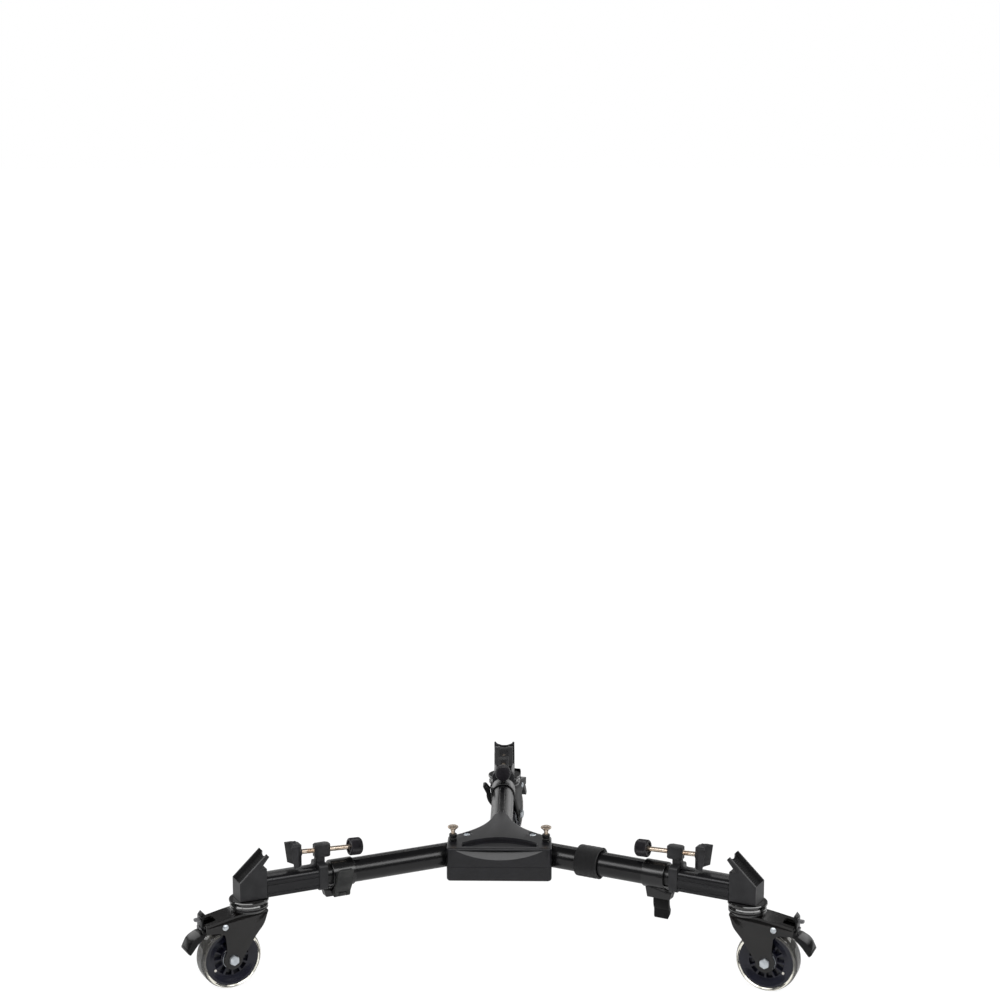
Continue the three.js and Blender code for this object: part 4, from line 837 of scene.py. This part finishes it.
def make_end_block():
    """The castor block. Its plate leans over the deck, and a wide ribbed channel runs down the slope."""
    start, end, low = 114.1, 148.1, -12.5
    top, nose = Vector((start, 42)), Vector((end, 11))
    slope = (nose - top).normalized()
    inward = Vector((slope.y, -slope.x))
    half, edge, trimmed, ribs, count = 14.75, 2.4, 0.5, 17, 24
    channel_depth, rib_height, plate, reach = 3.5, 0.22, 4.9, half - edge
    steps = 4 * ribs
    columns = [-half, -half + trimmed, -half + edge - trimmed, -half + edge]
    columns += [-reach + 2 * reach * k / count for k in range(1, count)]
    columns += [half - edge, half - edge + trimmed, half - trimmed, half]

    def depth(y, share):
        """How deep the channel is across the block, with its ribs."""
        if abs(y) >= reach:
            return 0.0
        curve = channel_depth * max(0.0, 1 - (y / reach) ** 2) ** 0.25
        return curve - rib_height * sin(share * ribs * 2 * pi) * min(1, (reach - abs(y)) / 2)

    def section(y):
        """The block's side outline, a little smaller at its two outer faces."""
        trim = trimmed if abs(y) > half - 0.3 else 0.0
        points = [(start + trim, low + trim), (end - trim, low + trim), (end - trim, nose.y - trim)]
        for k in range(steps + 1):
            share = k / steps
            p = nose + (top - nose) * share + inward * (depth(y, share) + trim)
            points.append((p.x, p.y))
        inner = top + inward * (plate - trim)
        points += [(inner.x, inner.y), (start + 8.5, 24 + trim), (start + trim, 24 - trim)]
        return points

    bm = bmesh.new()
    rings = []
    for y in columns:
        rings.append([bm.verts.new((x, y, z)) for x, z in section(y)])
    for column, (before, after) in enumerate(zip(rings, rings[1:])):
        for i in range(len(before)):
            j = (i + 1) % len(before)
            face = bm.faces.new((before[i], before[j], after[j], after[i]))
            # The channel floor's faces, marked 1, take the darker finish that paints the shade in the
            # channel
            if 3 <= column < len(rings) - 4 and 3 <= i < steps + 3:
                face.material_index = 1
    bm.faces.new(rings[0])
    bm.faces.new(rings[-1])
    agreed(bm)
    bite_radius, bite_above = 17, 13.2
    bite = bar(bite_radius, -4, 14, "z", sides=96, round_by=SHARP)
    beyond = top - slope * bite_above
    rows = (slope.x, 0, inward.x, beyond.x), (0, 1, 0, 0), (slope.y, 0, inward.y, beyond.y), (0, 0, 0, 1)
    bite.transform(Matrix(rows))
    return carved(bm, bite)


def make_bracket():
    """The cast clamp bracket: a ring round the inner tube, a neck, a boss for the screw and a gusset."""
    ring = prism(rounded([(-15.5, -14.8), (15.5, -14.8), (15.5, 18), (-15.5, 18)], 6), 36, 47.5, "yz")
    soften(ring, 0.8, 3, 50)
    ring = carved(ring, bar(13.3, 30, 55, "x", round_by=SHARP, sides=64))
    neck = soften(prism(rounded([(36.5, -5.5), (47, -5.5), (47, 5.5), (36.5, 5.5)], 1.5), 15, 27), 0.3, 2)
    plan = [(49, 4), (45.5, 7.5), (32.5, 7.5), (29, 4), (29, -4), (32.5, -7.5), (45.5, -7.5), (49, -4)]
    boss = prism(rounded(plan, 0.4, 3), 24.7, 39.7)
    soften(boss, 0.5, 2, 50)
    bore = bar(3.25, -16, 16, "x", round_by=SHARP)
    bore.transform(screw_seat())
    boss = carved(boss, bore)
    near, far, low, high, steps = 47.5, 64.5, 13.3, 23.8, 10
    curve = [(42, low - 0.4), (far - 0.1, low - 0.4)]
    for k in range(1, steps):
        t = k / steps
        along = far * (1 - t) ** 2 + 2 * near * t * (1 - t) + near * t**2
        curve.append((along, low + (high - low) * t**2))
    curve += [(near, high), (42, high)]
    gusset = soften(prism(curve, -3.5, 3.5, "xz"), 0.7, 3, 50)
    return joined(ring, neck, boss, gusset)


# The clamp's turning pieces are drawn along X about the middle of the boss


def make_screw():
    """A bright rod with a cut thread where it leaves the boss."""
    start, end, radius = -47.7, 31.2, 3
    thread_start, thread_end, pitch, root, crest = 10.0, 20, 0.85, 2.55, 3.05
    points = [(0, start), (radius - 0.4, start), (radius, start + 0.4), (radius, thread_start - 0.2)]
    place = thread_start
    while place < thread_end:
        points += [(root, place), (crest, place + 0.35), (crest, place + 0.5)]
        place += pitch
    points += [(radius, place), (radius, end), (0, end)]
    return spun(points, 40, "x", False)


def make_knob():
    """A knurled knob, round at its hub end, with a recessed ring on its outward face."""
    flutes, notch, start, end = 48, 0.55, -52.0, -36.0
    bm = bmesh.new()
    made = bmesh.ops.create_circle(bm, cap_ends=True, segments=2 * flutes, radius=1)
    stages = [(7.2, start), (8.9, start + 0.5), (10.0, start + 1.6), (10.7, start + 3.0)]
    stages += [(10.7, end - 1.4), (10.2, end - 0.4), (9.4, end), (7.4, end), (6.9, end - 1.6)]
    stages += [(4.2, end - 1.6), (3.8, end - 0.6), (3.3, end - 0.6)]
    fluted = {2, 3, 4, 5}
    loop = made["verts"]
    for index, (radius, place) in enumerate(stages):
        if index > 0:
            edges = list({e for v in loop for e in v.link_edges if all(w in loop for w in e.verts)})
            loop = verts_of(bmesh.ops.extrude_edge_only(bm, edges=edges))
        for vert in loop:
            angle = atan2(vert.co.y, vert.co.x)
            notched = index in fluted and round(angle / (pi / flutes)) % 2
            reach = radius - notch if notched else radius
            vert.co = (cos(angle) * reach, sin(angle) * reach, place)
    bmesh.ops.contextual_create(bm, geom=[e for e in bm.edges if e.is_boundary])
    agreed(bm).transform(AXES_ON)
    return bm


def make_pad():
    """The clamp pad, with a hollow front and two ridges on its top."""
    plan = [(67, -6.5, 1), (73.5, -13, 2), (83, -13, 1), (74.5, 0, 4)]
    plan += [(83, 13, 1), (73.5, 13, 2), (67, 6.5, 1)]
    low, high, jaws, jaw_length, lean = 18.5, 44.5, 74, 9, 3.6
    pad = prism(rounded(plan, 1), low, high)
    for vert in pad.verts:
        if vert.co.x > jaws:
            share = min(1, (vert.co.x - jaws) / jaw_length)
            vert.co.x -= lean * (high - vert.co.z) / (high - low) * share
    soften(pad, 0.7, 3, 50)
    ridges = [bar(1.5, 69.5, 79.5, "x", (0, y, high - 0.3), 24, 0.6) for y in (-7.5, 7.5)]
    boss = bar(5.2, 65.6, 68.5, "x", at=(0, 0, 33.6), sides=40)
    return joined(pad, *ridges, boss)


# Castors, drawn about the stem with X along the trail


def make_castor_mount():
    """The stem, the upper plate of the ball race and the kingpin's head below."""
    profile = [(0, -18.9), (8.2, -18.9), (9, -18.2), (9, -15.9), (6, -15.8), (6, -4.1), (21.6, -4.1)]
    profile += [(22.6, -3.6), (23.7, -3.2), (24, -2.6), (24, -0.8), (23.4, 0), (5, 0), (5, 17), (0, 17)]
    return spun(profile, 96, "z", False)


def make_race_band():
    """The edge of the ball race that shows between the two plates."""
    return spun(rounded_profile([(19, -4.6), (22.0, -4.6), (22.3, -3.9), (19, -3.9)], 0.15), 96, "z")


def make_swivel_ring():
    """The fork's glossy swivel ring with its lip."""
    profile = [(6.4, -4.6), (19.5, -4.6), (21.0, -5.0), (22.2, -7.2), (23.0, -7.6), (23.2, -8.6)]
    profile += [(22.4, -9.2), (23.2, -11.2), (21.4, -14.2), (6.4, -14.2)]
    return spun(rounded_profile(profile, 0.5), 96, "z")


def fork_outline():
    along, _, height = AXLE
    eye_radius = 12
    turns = [radians(a) for a in range(40, -190, -10)]
    eye = [(along + eye_radius * cos(a), height + eye_radius * sin(a), 0) for a in turns]
    points = [(-18, -15.2, 1), (18, -15.2, 8), (60, -22.7, 1.5), (60, -31, 1.5), (43.5, -32.4, 2)]
    points += [(36.5, -36, 3), (34.8, -54, 3)] + eye + [(-2.5, -42, 6), (-13, -30, 5)]
    return rounded(points, 2)


def make_fork():
    """A pressed fork: two side plates under a top plate with a rolled edge."""
    inner, outer = 14.5, 17
    plates = []
    for side in (-1, 1):
        plate = prism(fork_outline(), *on_side(side, inner, outer), "xz")
        plates.append(soften(plate, 0.5, 2, 50))
    upper = [(-18, -13), (18, -13, 10), (60, -20.5), (60, -23.2), (18, -15.8, 10), (-18, -15.8)]
    top = prism(rounded(upper, 0.05, 8), -outer, outer, "xz")
    top.normal_update()
    ends = [e for e in top.edges if all(abs(v.co.y) > outer - 0.1 for v in e.verts)]
    bevelled(top, [e for e in ends if any(f.normal.z > 0.5 for f in e.link_faces)], 2.2, 5)
    slot = prism(rounded([(45, -9), (70, -9), (70, 9), (45, 9)], 3), -30, -10)
    top = carved(top, slot)
    return joined(*plates, top)


def make_axle_bolt():
    shank, head, near, far = 4, 6.3, 17.3, 21.3
    heads = [hexagon(head, *on_side(side, near, far), "y", AXLE) for side in (-1, 1)]
    return joined(bar(shank, 0.3 - far, far - 0.3, "y", at=AXLE, sides=32), *heads)


def make_core():
    """The wheel centre: a rim, a dished web with a ring of pockets, and a boss."""
    half = [(4.3, 13.8, 0), (7.6, 13.8, 0.3), (8.0, 13.2, 0.3), (10.4, 13.2, 0.5), (11.2, 9.2, 0.8)]
    half += [(12.4, 8.4, 0.4), (21.8, 8.4, 0.5), (25.0, 9.4, 1.5), (30.2, 11.6, 1), (33.0, 11.8, 0.3)]
    back = [(r, -p, size) for r, p, size in reversed(half)]
    pockets, slices, hollow_slices, depth = 12, 8, 6, 5
    web, near, far = 7.5, 14, 21.6
    core = spun([(p.x, p.y) for p in rounded(half + back, 0.3, 3)], slices * pockets, "y")
    for side in (-1, 1):
        band = []
        for face in core.faces:
            c = face.calc_center_median()
            r = hypot(c.x, c.z)
            turn = (degrees(atan2(c.z, c.x)) % 360) / (360 / (slices * pockets))
            on_web = c.y * side > web and near < r < far and abs(face.normal.y) > 0.9
            if on_web and int(turn) % slices < hollow_slices:
                band.append(face)
        made = bmesh.ops.extrude_face_region(core, geom=band)
        bmesh.ops.translate(core, verts=verts_of(made), vec=(0, -side * depth, 0))
        bmesh.ops.delete(core, geom=band, context="FACES")
    bmesh.ops.translate(core, verts=core.verts, vec=AXLE)
    return core


def make_bearings():
    rings = []
    for side in (-1, 1):
        profile = [(4.4, side * 13.3), (4.4, side * 13.7), (9.9, side * 13.7), (10.4, side * 14.0)]
        profile += [(12.2, side * 14.0), (12.2, side * 12.6), (9.9, side * 12.6)]
        rings.append(spun(rounded_profile(profile, 0.2), 64, "y", at=AXLE))
    return joined(*rings)


def make_dots():
    """A small pale disc on each face of the wheel."""
    at = (AXLE[0] + 20.5, 0, AXLE[2] - 12.5)
    return joined(*[bar(1.5, *on_side(side, 8.2, 10.2), "y", at, 24, 0.4) for side in (-1, 1)])


def make_tyre():
    half = [(32.8, 11.9), (34.2, 12), (35.2, 11.8), (36.2, 11.1), (37.0, 9.9), (37.4, 8.2), (37.5, 6)]
    back = [(r, -p) for r, p in reversed(half)]
    return spun(half + back, 128, "y", at=AXLE)


def make_pedal():
    """The brake lever: the arm between the plates, the foot lobe with its pad, and the release tab."""
    arm = [(31, -21, 1), (31, -28, 1), (49, -31.6, 2), (62.5, -36, 0.5), (62.5, -27, 1)]
    lobe = [(60.5, -32, 0.5), (64.5, -32, 2), (76, -37.5, 6), (82.5, -51, 2), (78.5, -55, 2)]
    lobe += [(68, -42, 5), (60.5, -36, 0.5)]
    tab = [(60.5, -36), (60.5, -16, 1), (57.9, -14, 1), (58.7, -7.6, 0.8), (62.5, -12.1, 1.5)]
    tab.append((62.5, -32))
    parts = [soften(prism(rounded(arm, 0.5), -11, 11, "xz"), 0.7, 2, 50)]
    parts.append(soften(prism(rounded(lobe, 0.8), -12, 12, "xz"), 1.1, 3, 50))
    parts.append(soften(prism(rounded(tab, 0.5), -8, 8, "xz"), 0.5, 2, 50))
    half = 8.6
    plan = rounded([(-5.2, -half), (3.2, -half), (3.2, half), (-5.2, half)], 1.2)
    ridge = bar(0.6, -half, half, "y", at=(5.2, 0, 0), sides=16)
    pad = joined(soften(prism(plan, -0.6, 0.45), 0.3, 2, 50), ridge)
    pad.transform(Matrix.Translation((79.4, 0, -44.3)) @ Matrix.Rotation(atan2(13.5, 6.5), 4, "Y"))
    return joined(*parts, pad)


def make_spring_tab():
    """The round grey spring tab behind the release tab, and the end of the brake's spring below it."""
    tab = prism(rounded([(60.2, -5), (69.5, -5, 4.6), (69.5, 5, 4.6), (60.2, 5)], 0.3, 8), -17.5, -15.5)
    soften(tab, 0.4, 2, 50)
    middle = (63.2, 0, -26.5)
    coils = [bar(1.2, y, y + 0.9, "y", middle, 20, 0.3) for y in range(-5, 6)]
    return joined(tab, bar(0.9, -6, 7, "y", middle, 16), *coils)


def make_rivet():
    dome = [(0, 17.1), (3.8, 17.1), (3.7, 17.7), (3.0, 18.4), (1.6, 18.9), (0, 19.0)]
    heads = [[(r, side * p) for r, p in dome] for side in (-1, 1)]
    return joined(*[spun(head, 32, "y", False, (36.3, 0, -25.9)) for head in heads])


# Strap


def make_strap(start, width):
    """Tape wound twice round the tube and a little more, and its flat length in metres."""
    inside, rise, thick, turns, steps, rows = 15.35, 1.75, 1.2, 2.12, 150, 14
    first_turn, ripple = radians(30), 0.12
    bm = bmesh.new()
    verts = []
    for k in range(steps + 1):
        turn = 2 * pi * turns * k / steps
        radius = inside + rise * turn / (2 * pi)
        a = turn + first_turn
        verts.append(bm.verts.new((start, radius * sin(a), radius * cos(a))))
    edges = [bm.edges.new(pair) for pair in zip(verts, verts[1:])]
    for _ in range(rows):
        edges = drawn_out(bm, edges, (width / rows, 0, 0))
    for vert in bm.verts:
        wave = ripple * sin(vert.co.x * 0.9 + vert.co.y * 0.5)
        reach = hypot(vert.co.y, vert.co.z)
        vert.co.y *= 1 + wave / reach
        vert.co.z *= 1 + wave / reach
    agreed(bm)
    bmesh.ops.solidify(bm, geom=bm.faces[:], thickness=-thick)
    agreed(bm)
    length = 2 * pi * turns * (inside + rise * turns / 2)
    return bm, length * MM


# Stage


def worked_out(tree, operation, first, second):
    """A math node of that operation on two values."""
    node = add_node(tree, "Math")
    node.operation = operation
    tree.links.new(first, node.inputs[0])
    tree.links.new(second, node.inputs[1])
    return node.outputs[0]


def camera_sees(tree):
    """1 for what the camera sees, also through the clear treads, and 0 for all else."""
    path = add_node(tree, "LightPath")
    direct, through = path.outputs["Is Camera Ray"], path.outputs["Is Transmission Ray"]
    return worked_out(tree, "MAXIMUM", direct, through)


def fade_out(tree, near, low, far, high):
    """A value that goes from low within the near distance of the middle to high beyond the far one."""
    reach = add_node(tree, "VectorMath")
    reach.operation = "LENGTH"
    tree.links.new(add_node(tree, "TexCoord").outputs["Object"], reach.inputs[0])
    fade = add_node(tree, "MapRange", From_Min=near, From_Max=far, To_Min=low, To_Max=high)
    tree.links.new(reach.outputs["Value"], fade.inputs["Value"])
    return fade.outputs["Result"]


def white_share(tree):
    """How much of the sweep is plain white.

    The camera sees all of it so away from the dolly, and less where the shadow falls. Glossy pieces see
    it so only at the back, and the floor near them dim.
    """
    path = add_node(tree, "LightPath")
    around = fade_out(tree, near=0.6, low=0.82, far=1.3, high=1)
    far_back = fade_out(tree, near=1.0, low=0.06, far=2.2, high=0.8)
    seen = worked_out(tree, "MULTIPLY", camera_sees(tree), around)
    mirrored = worked_out(tree, "MULTIPLY", path.outputs["Is Glossy Ray"], far_back)
    return worked_out(tree, "MAXIMUM", seen, mirrored)


def blend(tree, share, first, second, output):
    """Shows the first shader and, by the share, the second one in its place."""
    mix = add_node(tree, "MixShader")
    tree.links.new(share, mix.inputs[0])
    tree.links.new(first.outputs[0], mix.inputs[1])
    tree.links.new(second.outputs[0], mix.inputs[2])
    tree.links.new(mix.outputs[0], tree.nodes[output].inputs[0])


def make_floor(colour):
    """A pale sweep: a floor that turns up into a low wall behind the dolly."""
    half_width, front, level = 5, -1.1, 5.6
    bm = bmesh.new()
    ends = [bm.verts.new((x, front, 0)) for x in (-half_width, half_width)]
    edges = [bm.edges.new(ends)]
    for step in ((0, level, 0), (0, 0.35, 0.1), (0, 0.15, 0.3), (0, 0, 0.8)):
        edges = drawn_out(bm, edges, step)
    agreed(bm)
    floor = make_object("floor", bm)
    floor.location.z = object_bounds()[0][2] - FLOOR_GAP
    material = bpy.data.materials.new("floor")
    material.use_nodes = True
    tree = material.node_tree
    shader = tree.nodes["Principled BSDF"]
    set_inputs(shader, Base_Color=(*colour, 1), Roughness=0.9, Specular_IOR_Level=0.1)
    glow = add_node(tree, "Emission", Color=(1, 1, 1, 1), Strength=1.15)
    blend(tree, white_share(tree), shader, glow, "Material Output")
    floor.data.materials.append(material)
    floor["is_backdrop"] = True


def make_world(scene, fill):
    """An even, dim fill from all round, which the camera sees as white."""
    world = bpy.data.worlds.new("studio")
    world.use_nodes = True
    tree = world.node_tree
    shade = set_inputs(tree.nodes["Background"], Color=(1, 1, 1, 1), Strength=fill)
    bright = add_node(tree, "Background", Color=(1, 1, 1, 1), Strength=1.0)
    blend(tree, camera_sees(tree), shade, bright, "World Output")
    scene.world = world


def make_lamps():
    """Three panels in front and above, two behind, and a strip between those.

    Each has its place, width and depth in metres, and its power in watts.
    """
    lamps = [
        ("front panel", (0.0, -1.9, 1.7), 3.0, 1.0, 36),
        ("left front panel", (-1.95, -1.1, 1.6), 1.6, 0.9, 18),
        ("right front panel", (1.95, -1.1, 1.6), 1.6, 0.9, 18),
        ("left back panel", (-1.8, 1.5, 1.2), 1.3, 1.3, 9),
        ("right back panel", (1.8, 1.5, 1.2), 1.3, 1.3, 9),
        ("back strip", (0.0, 2.0, 1.35), 2.0, 0.3, 2),
    ]
    for name, spot, wide, deep, power in lamps:
        light = bpy.data.lights.new(name, "AREA")
        light.shape = "RECTANGLE"
        light.size = wide
        light.size_y = deep
        light.energy = power
        lamp = bpy.data.objects.new(name, light)
        bpy.context.scene.collection.objects.link(lamp)
        lamp.location = spot
        lamp.rotation_euler = (CROSSING - Vector(spot)).to_track_quat("-Z", "Y").to_euler()


def make_camera(scene, distance, lens):
    camera = bpy.data.cameras.new("camera")
    camera.lens = lens
    camera.sensor_width = 36
    camera.clip_end = 50
    holder = bpy.data.objects.new("camera", camera)
    scene.collection.objects.link(holder)
    holder.location = CROSSING + Vector((CAMERA_ASIDE * MM, -distance, CAMERA_ABOVE * MM))
    holder.rotation_euler = (radians(90 - CAMERA_DOWN), 0, radians(CAMERA_TURN))
    scene.camera = holder


# Settings


class DollyColours(bpy.types.PropertyGroup):
    floor: bpy.props.FloatVectorProperty(
        name="Floor",
        description="Colour of the floor and the backdrop",
        default=(0.74, 0.74, 0.74),
        size=3,
        min=0,
        max=1,
        subtype="COLOR",
    )
    fill: bpy.props.FloatProperty(
        name="Fill light",
        description="Strength of the even light from all round",
        default=0.11,
        min=0,
        max=2,
    )


class DollySizes(bpy.types.PropertyGroup):
    strap_start: bpy.props.FloatProperty(
        name="Strap place",
        description="Distance of the strap from the arms' crossing",
        default=114.5 * MM,
        unit="LENGTH",
    )
    strap_width: bpy.props.FloatProperty(
        name="Strap width",
        description="Width of the hook-and-loop tape",
        default=29.5 * MM,
        unit="LENGTH",
    )
    eye_distance: bpy.props.FloatProperty(
        name="Camera distance",
        description="How far in front of the arms' crossing the camera stands",
        default=2212.6 * MM,
        unit="LENGTH",
    )
    lens: bpy.props.FloatProperty(
        name="Lens",
        description="Focal length on a 36 mm sensor",
        default=64.26,
        min=10,
        max=300,
    )


# Each arm's tray, clamp and castor, in rows of a piece's body, name, maker and finish, and of its solid
# and slot where it stands for a solid

FOOT_PIECES = (
    ("slide", "tray", make_tray, "tray", "foot_tray", "satin_black"),
    # The end block's second finish paints shade on its channel floor
    ("slide", "castor_block", make_end_block, "casting, liner", "end_block", "moulded_grey"),
    ("slide", "bracket", make_bracket, "casting", "clamp_bracket", "moulded_grey"),
    ("clamp_screw", "screw", make_screw, "nickel", "clamp_screw", "nickel"),
    ("clamp_screw", "knob", make_knob, "knob", "clamp_knob", "moulded_grey"),
    ("clamp_pad", "pad", make_pad, "casting", "clamp_pad", "moulded_grey"),
)
CASTOR_PIECES = (
    ("slide", "race", make_castor_mount, "race", "castor_mount", "satin_black"),
    ("castor", "race_band", make_race_band, "race"),
    ("castor", "swivel_ring", make_swivel_ring, "race"),
    ("castor", "fork", make_fork, "fork", "castor_fork", "gloss_black"),
    ("castor", "axle", make_axle_bolt, "silver", "axle_bolt", "silver"),
    ("wheel", "core", make_core, "core", "wheel_core", "core_black"),
    ("wheel", "bearings", make_bearings, "silver"),
    ("wheel", "dots", make_dots, "disc"),
    ("wheel", "tread", make_tyre, "tyre", "tyre", "clear_tread"),
    ("brake", "pedal", make_pedal, "pedal", "brake_pedal", "moulded_grey"),
    ("brake", "spring_tab", make_spring_tab, "steel"),
    ("brake", "rivet", make_rivet, "silver"),
)


# Operators


class DOLLY_OT_stage(bpy.types.Operator):
    """Lays the floor and sets the lights and the camera"""

    bl_idname = "dolly.stage"
    bl_label = "Stage"

    def execute(self, context):
        colours = context.scene.dolly_colours
        sizes = context.scene.dolly_sizes
        make_floor(colours.floor)
        make_world(context.scene, colours.fill)
        make_lamps()
        make_camera(context.scene, sizes.eye_distance, sizes.lens)
        context.scene.view_settings.view_transform = "Standard"
        return {"FINISHED"}


class DOLLY_OT_hub(bpy.types.Operator):
    """Builds the hub's two shells, its pivots, bushings and pull pins"""

    bl_idname = "dolly.hub"
    bl_label = "Hub"

    def execute(self, context):
        cover = (make_hub_cover(), HUB_PLACE, "hub", "hub", ["hub_cover"], "moulded_grey", 25)
        round_rims(finish_piece("hub_cover_shell", *cover), 0.4)
        base = (make_hub_base(), HUB_PLACE, "hub", "hub", ["hub_base"], "moulded_grey", 25)
        finish_piece("hub_base_shell", *base)
        for name, side in (("left", -1), ("right", 1)):
            pivot = HUB_PLACE @ Matrix.Translation(fold_pivot(side))
            bolt = (make_arm_pivot(), pivot, "silver", "hub", [name + "_arm_pivot"], "silver")
            finish_piece(name + "_pivot_bolt", *bolt)
            pin = HUB_PLACE @ Matrix.Translation(pin_place(side))
            bushing = (make_bushing(), pin, "bushing", "hub", [name + "_pin_bushing"], "satin_black")
            finish_piece(name + "_bushing", *bushing)
            dress(name, pin, "lock_pin", "pull_pin", make_lock_pin, "nickel", "lock_pin", "nickel")
            refinish(name + "_arm_hinge", solid_finish("hinge casting", (34, 34, 36), (46, 46, 48)))
        refinish("rear_tube_bolt", solid_finish("bolt zinc", (176, 178, 182), (216, 218, 220), 1.0))
        return {"FINISHED"}


class DOLLY_OT_tubes(bpy.types.Operator):
    """Builds each arm's tubes, lock collar and flip lever"""

    bl_idname = "dolly.tubes"
    bl_label = "Tubes and locks"

    def execute(self, context):
        for arm in ARM_ANGLE:
            tube = (arm_place(arm), "tube", base_body(arm), [arm + "_outer_tube"], "gloss_black")
            finish_piece(arm + "_tube", make_outer_tube(arm), *tube)
            collar = (collar_place(arm), "collar", base_body(arm), [arm + "_lock_collar"], "gloss_black")
            finish_piece(arm + "_collar", make_collar(), *collar)
            lever = ("lock_lever", "lever", make_lever, "lever", "lock_lever", "satin_black")
            dress(arm, lever_place(arm), *lever)
            slide_tube = ("slide", "slide_tube", make_inner_tube, "inner", "inner_tube", "satin_black")
            dress(arm, slide_place(arm), *slide_tube)
        return {"FINISHED"}


class DOLLY_OT_feet(bpy.types.Operator):
    """Builds each arm's foot tray, end block and clamp"""

    bl_idname = "dolly.feet"
    bl_label = "Trays and clamps"

    def execute(self, context):
        for arm in ARM_ANGLE:
            for row in FOOT_PIECES:
                place = screw_place(arm) if row[0] == "clamp_screw" else slide_place(arm)
                dress(arm, place, *row)
        return {"FINISHED"}


class DOLLY_OT_castors(bpy.types.Operator):
    """Builds the castors with their wheels and brakes"""

    bl_idname = "dolly.castors"
    bl_label = "Castors"

    def execute(self, context):
        for arm in ARM_ANGLE:
            for row in CASTOR_PIECES:
                dress(arm, castor_place(arm), *row)
        return {"FINISHED"}


class DOLLY_OT_strap(bpy.types.Operator):
    """Winds the hook-and-loop strap round the right arm"""

    bl_idname = "dolly.strap"
    bl_label = "Strap"

    def execute(self, context):
        sizes = context.scene.dolly_sizes
        band, length = make_strap(sizes.strap_start / MM, sizes.strap_width / MM)
        tape = (band, arm_place("right"), "strap", "right_arm", ["hook_and_loop_strap"])
        strap = finish_piece("wound_strap", *tape, "fabric_black", 60)
        return {"FINISHED"}


class DOLLY_PT_panel(bpy.types.Panel):
    bl_label = "Dolly"
    bl_idname = "DOLLY_PT_panel"
    bl_space_type = "VIEW_3D"
    bl_region_type = "UI"
    bl_category = "Dolly"

    def draw(self, context):
        column = self.layout.column()
        for name in ("floor", "fill"):
            column.prop(context.scene.dolly_colours, name)
        for name in ("strap_start", "strap_width", "eye_distance", "lens"):
            column.prop(context.scene.dolly_sizes, name)
        for operator in OPERATORS:
            column.operator(operator.bl_idname)


ARM_OPERATORS = (DOLLY_OT_tubes, DOLLY_OT_feet, DOLLY_OT_castors)
OPERATORS = (DOLLY_OT_stage, DOLLY_OT_hub, *ARM_OPERATORS, DOLLY_OT_strap)
CLASSES = (DollyColours, DollySizes, *OPERATORS, DOLLY_PT_panel)


def register():
    for cls in CLASSES:
        bpy.utils.register_class(cls)
    bpy.types.Scene.dolly_colours = bpy.props.PointerProperty(type=DollyColours)
    bpy.types.Scene.dolly_sizes = bpy.props.PointerProperty(type=DollySizes)


def unregister():
    del bpy.types.Scene.dolly_sizes
    del bpy.types.Scene.dolly_colours
    for cls in reversed(CLASSES):
        bpy.utils.unregister_class(cls)


def main():
    register()
    bpy.ops.dolly.stage()
    bpy.ops.dolly.hub()
    bpy.ops.dolly.tubes()
    bpy.ops.dolly.feet()
    bpy.ops.dolly.castors()
    bpy.ops.dolly.strap()


if __name__ == "__main__":
    main()
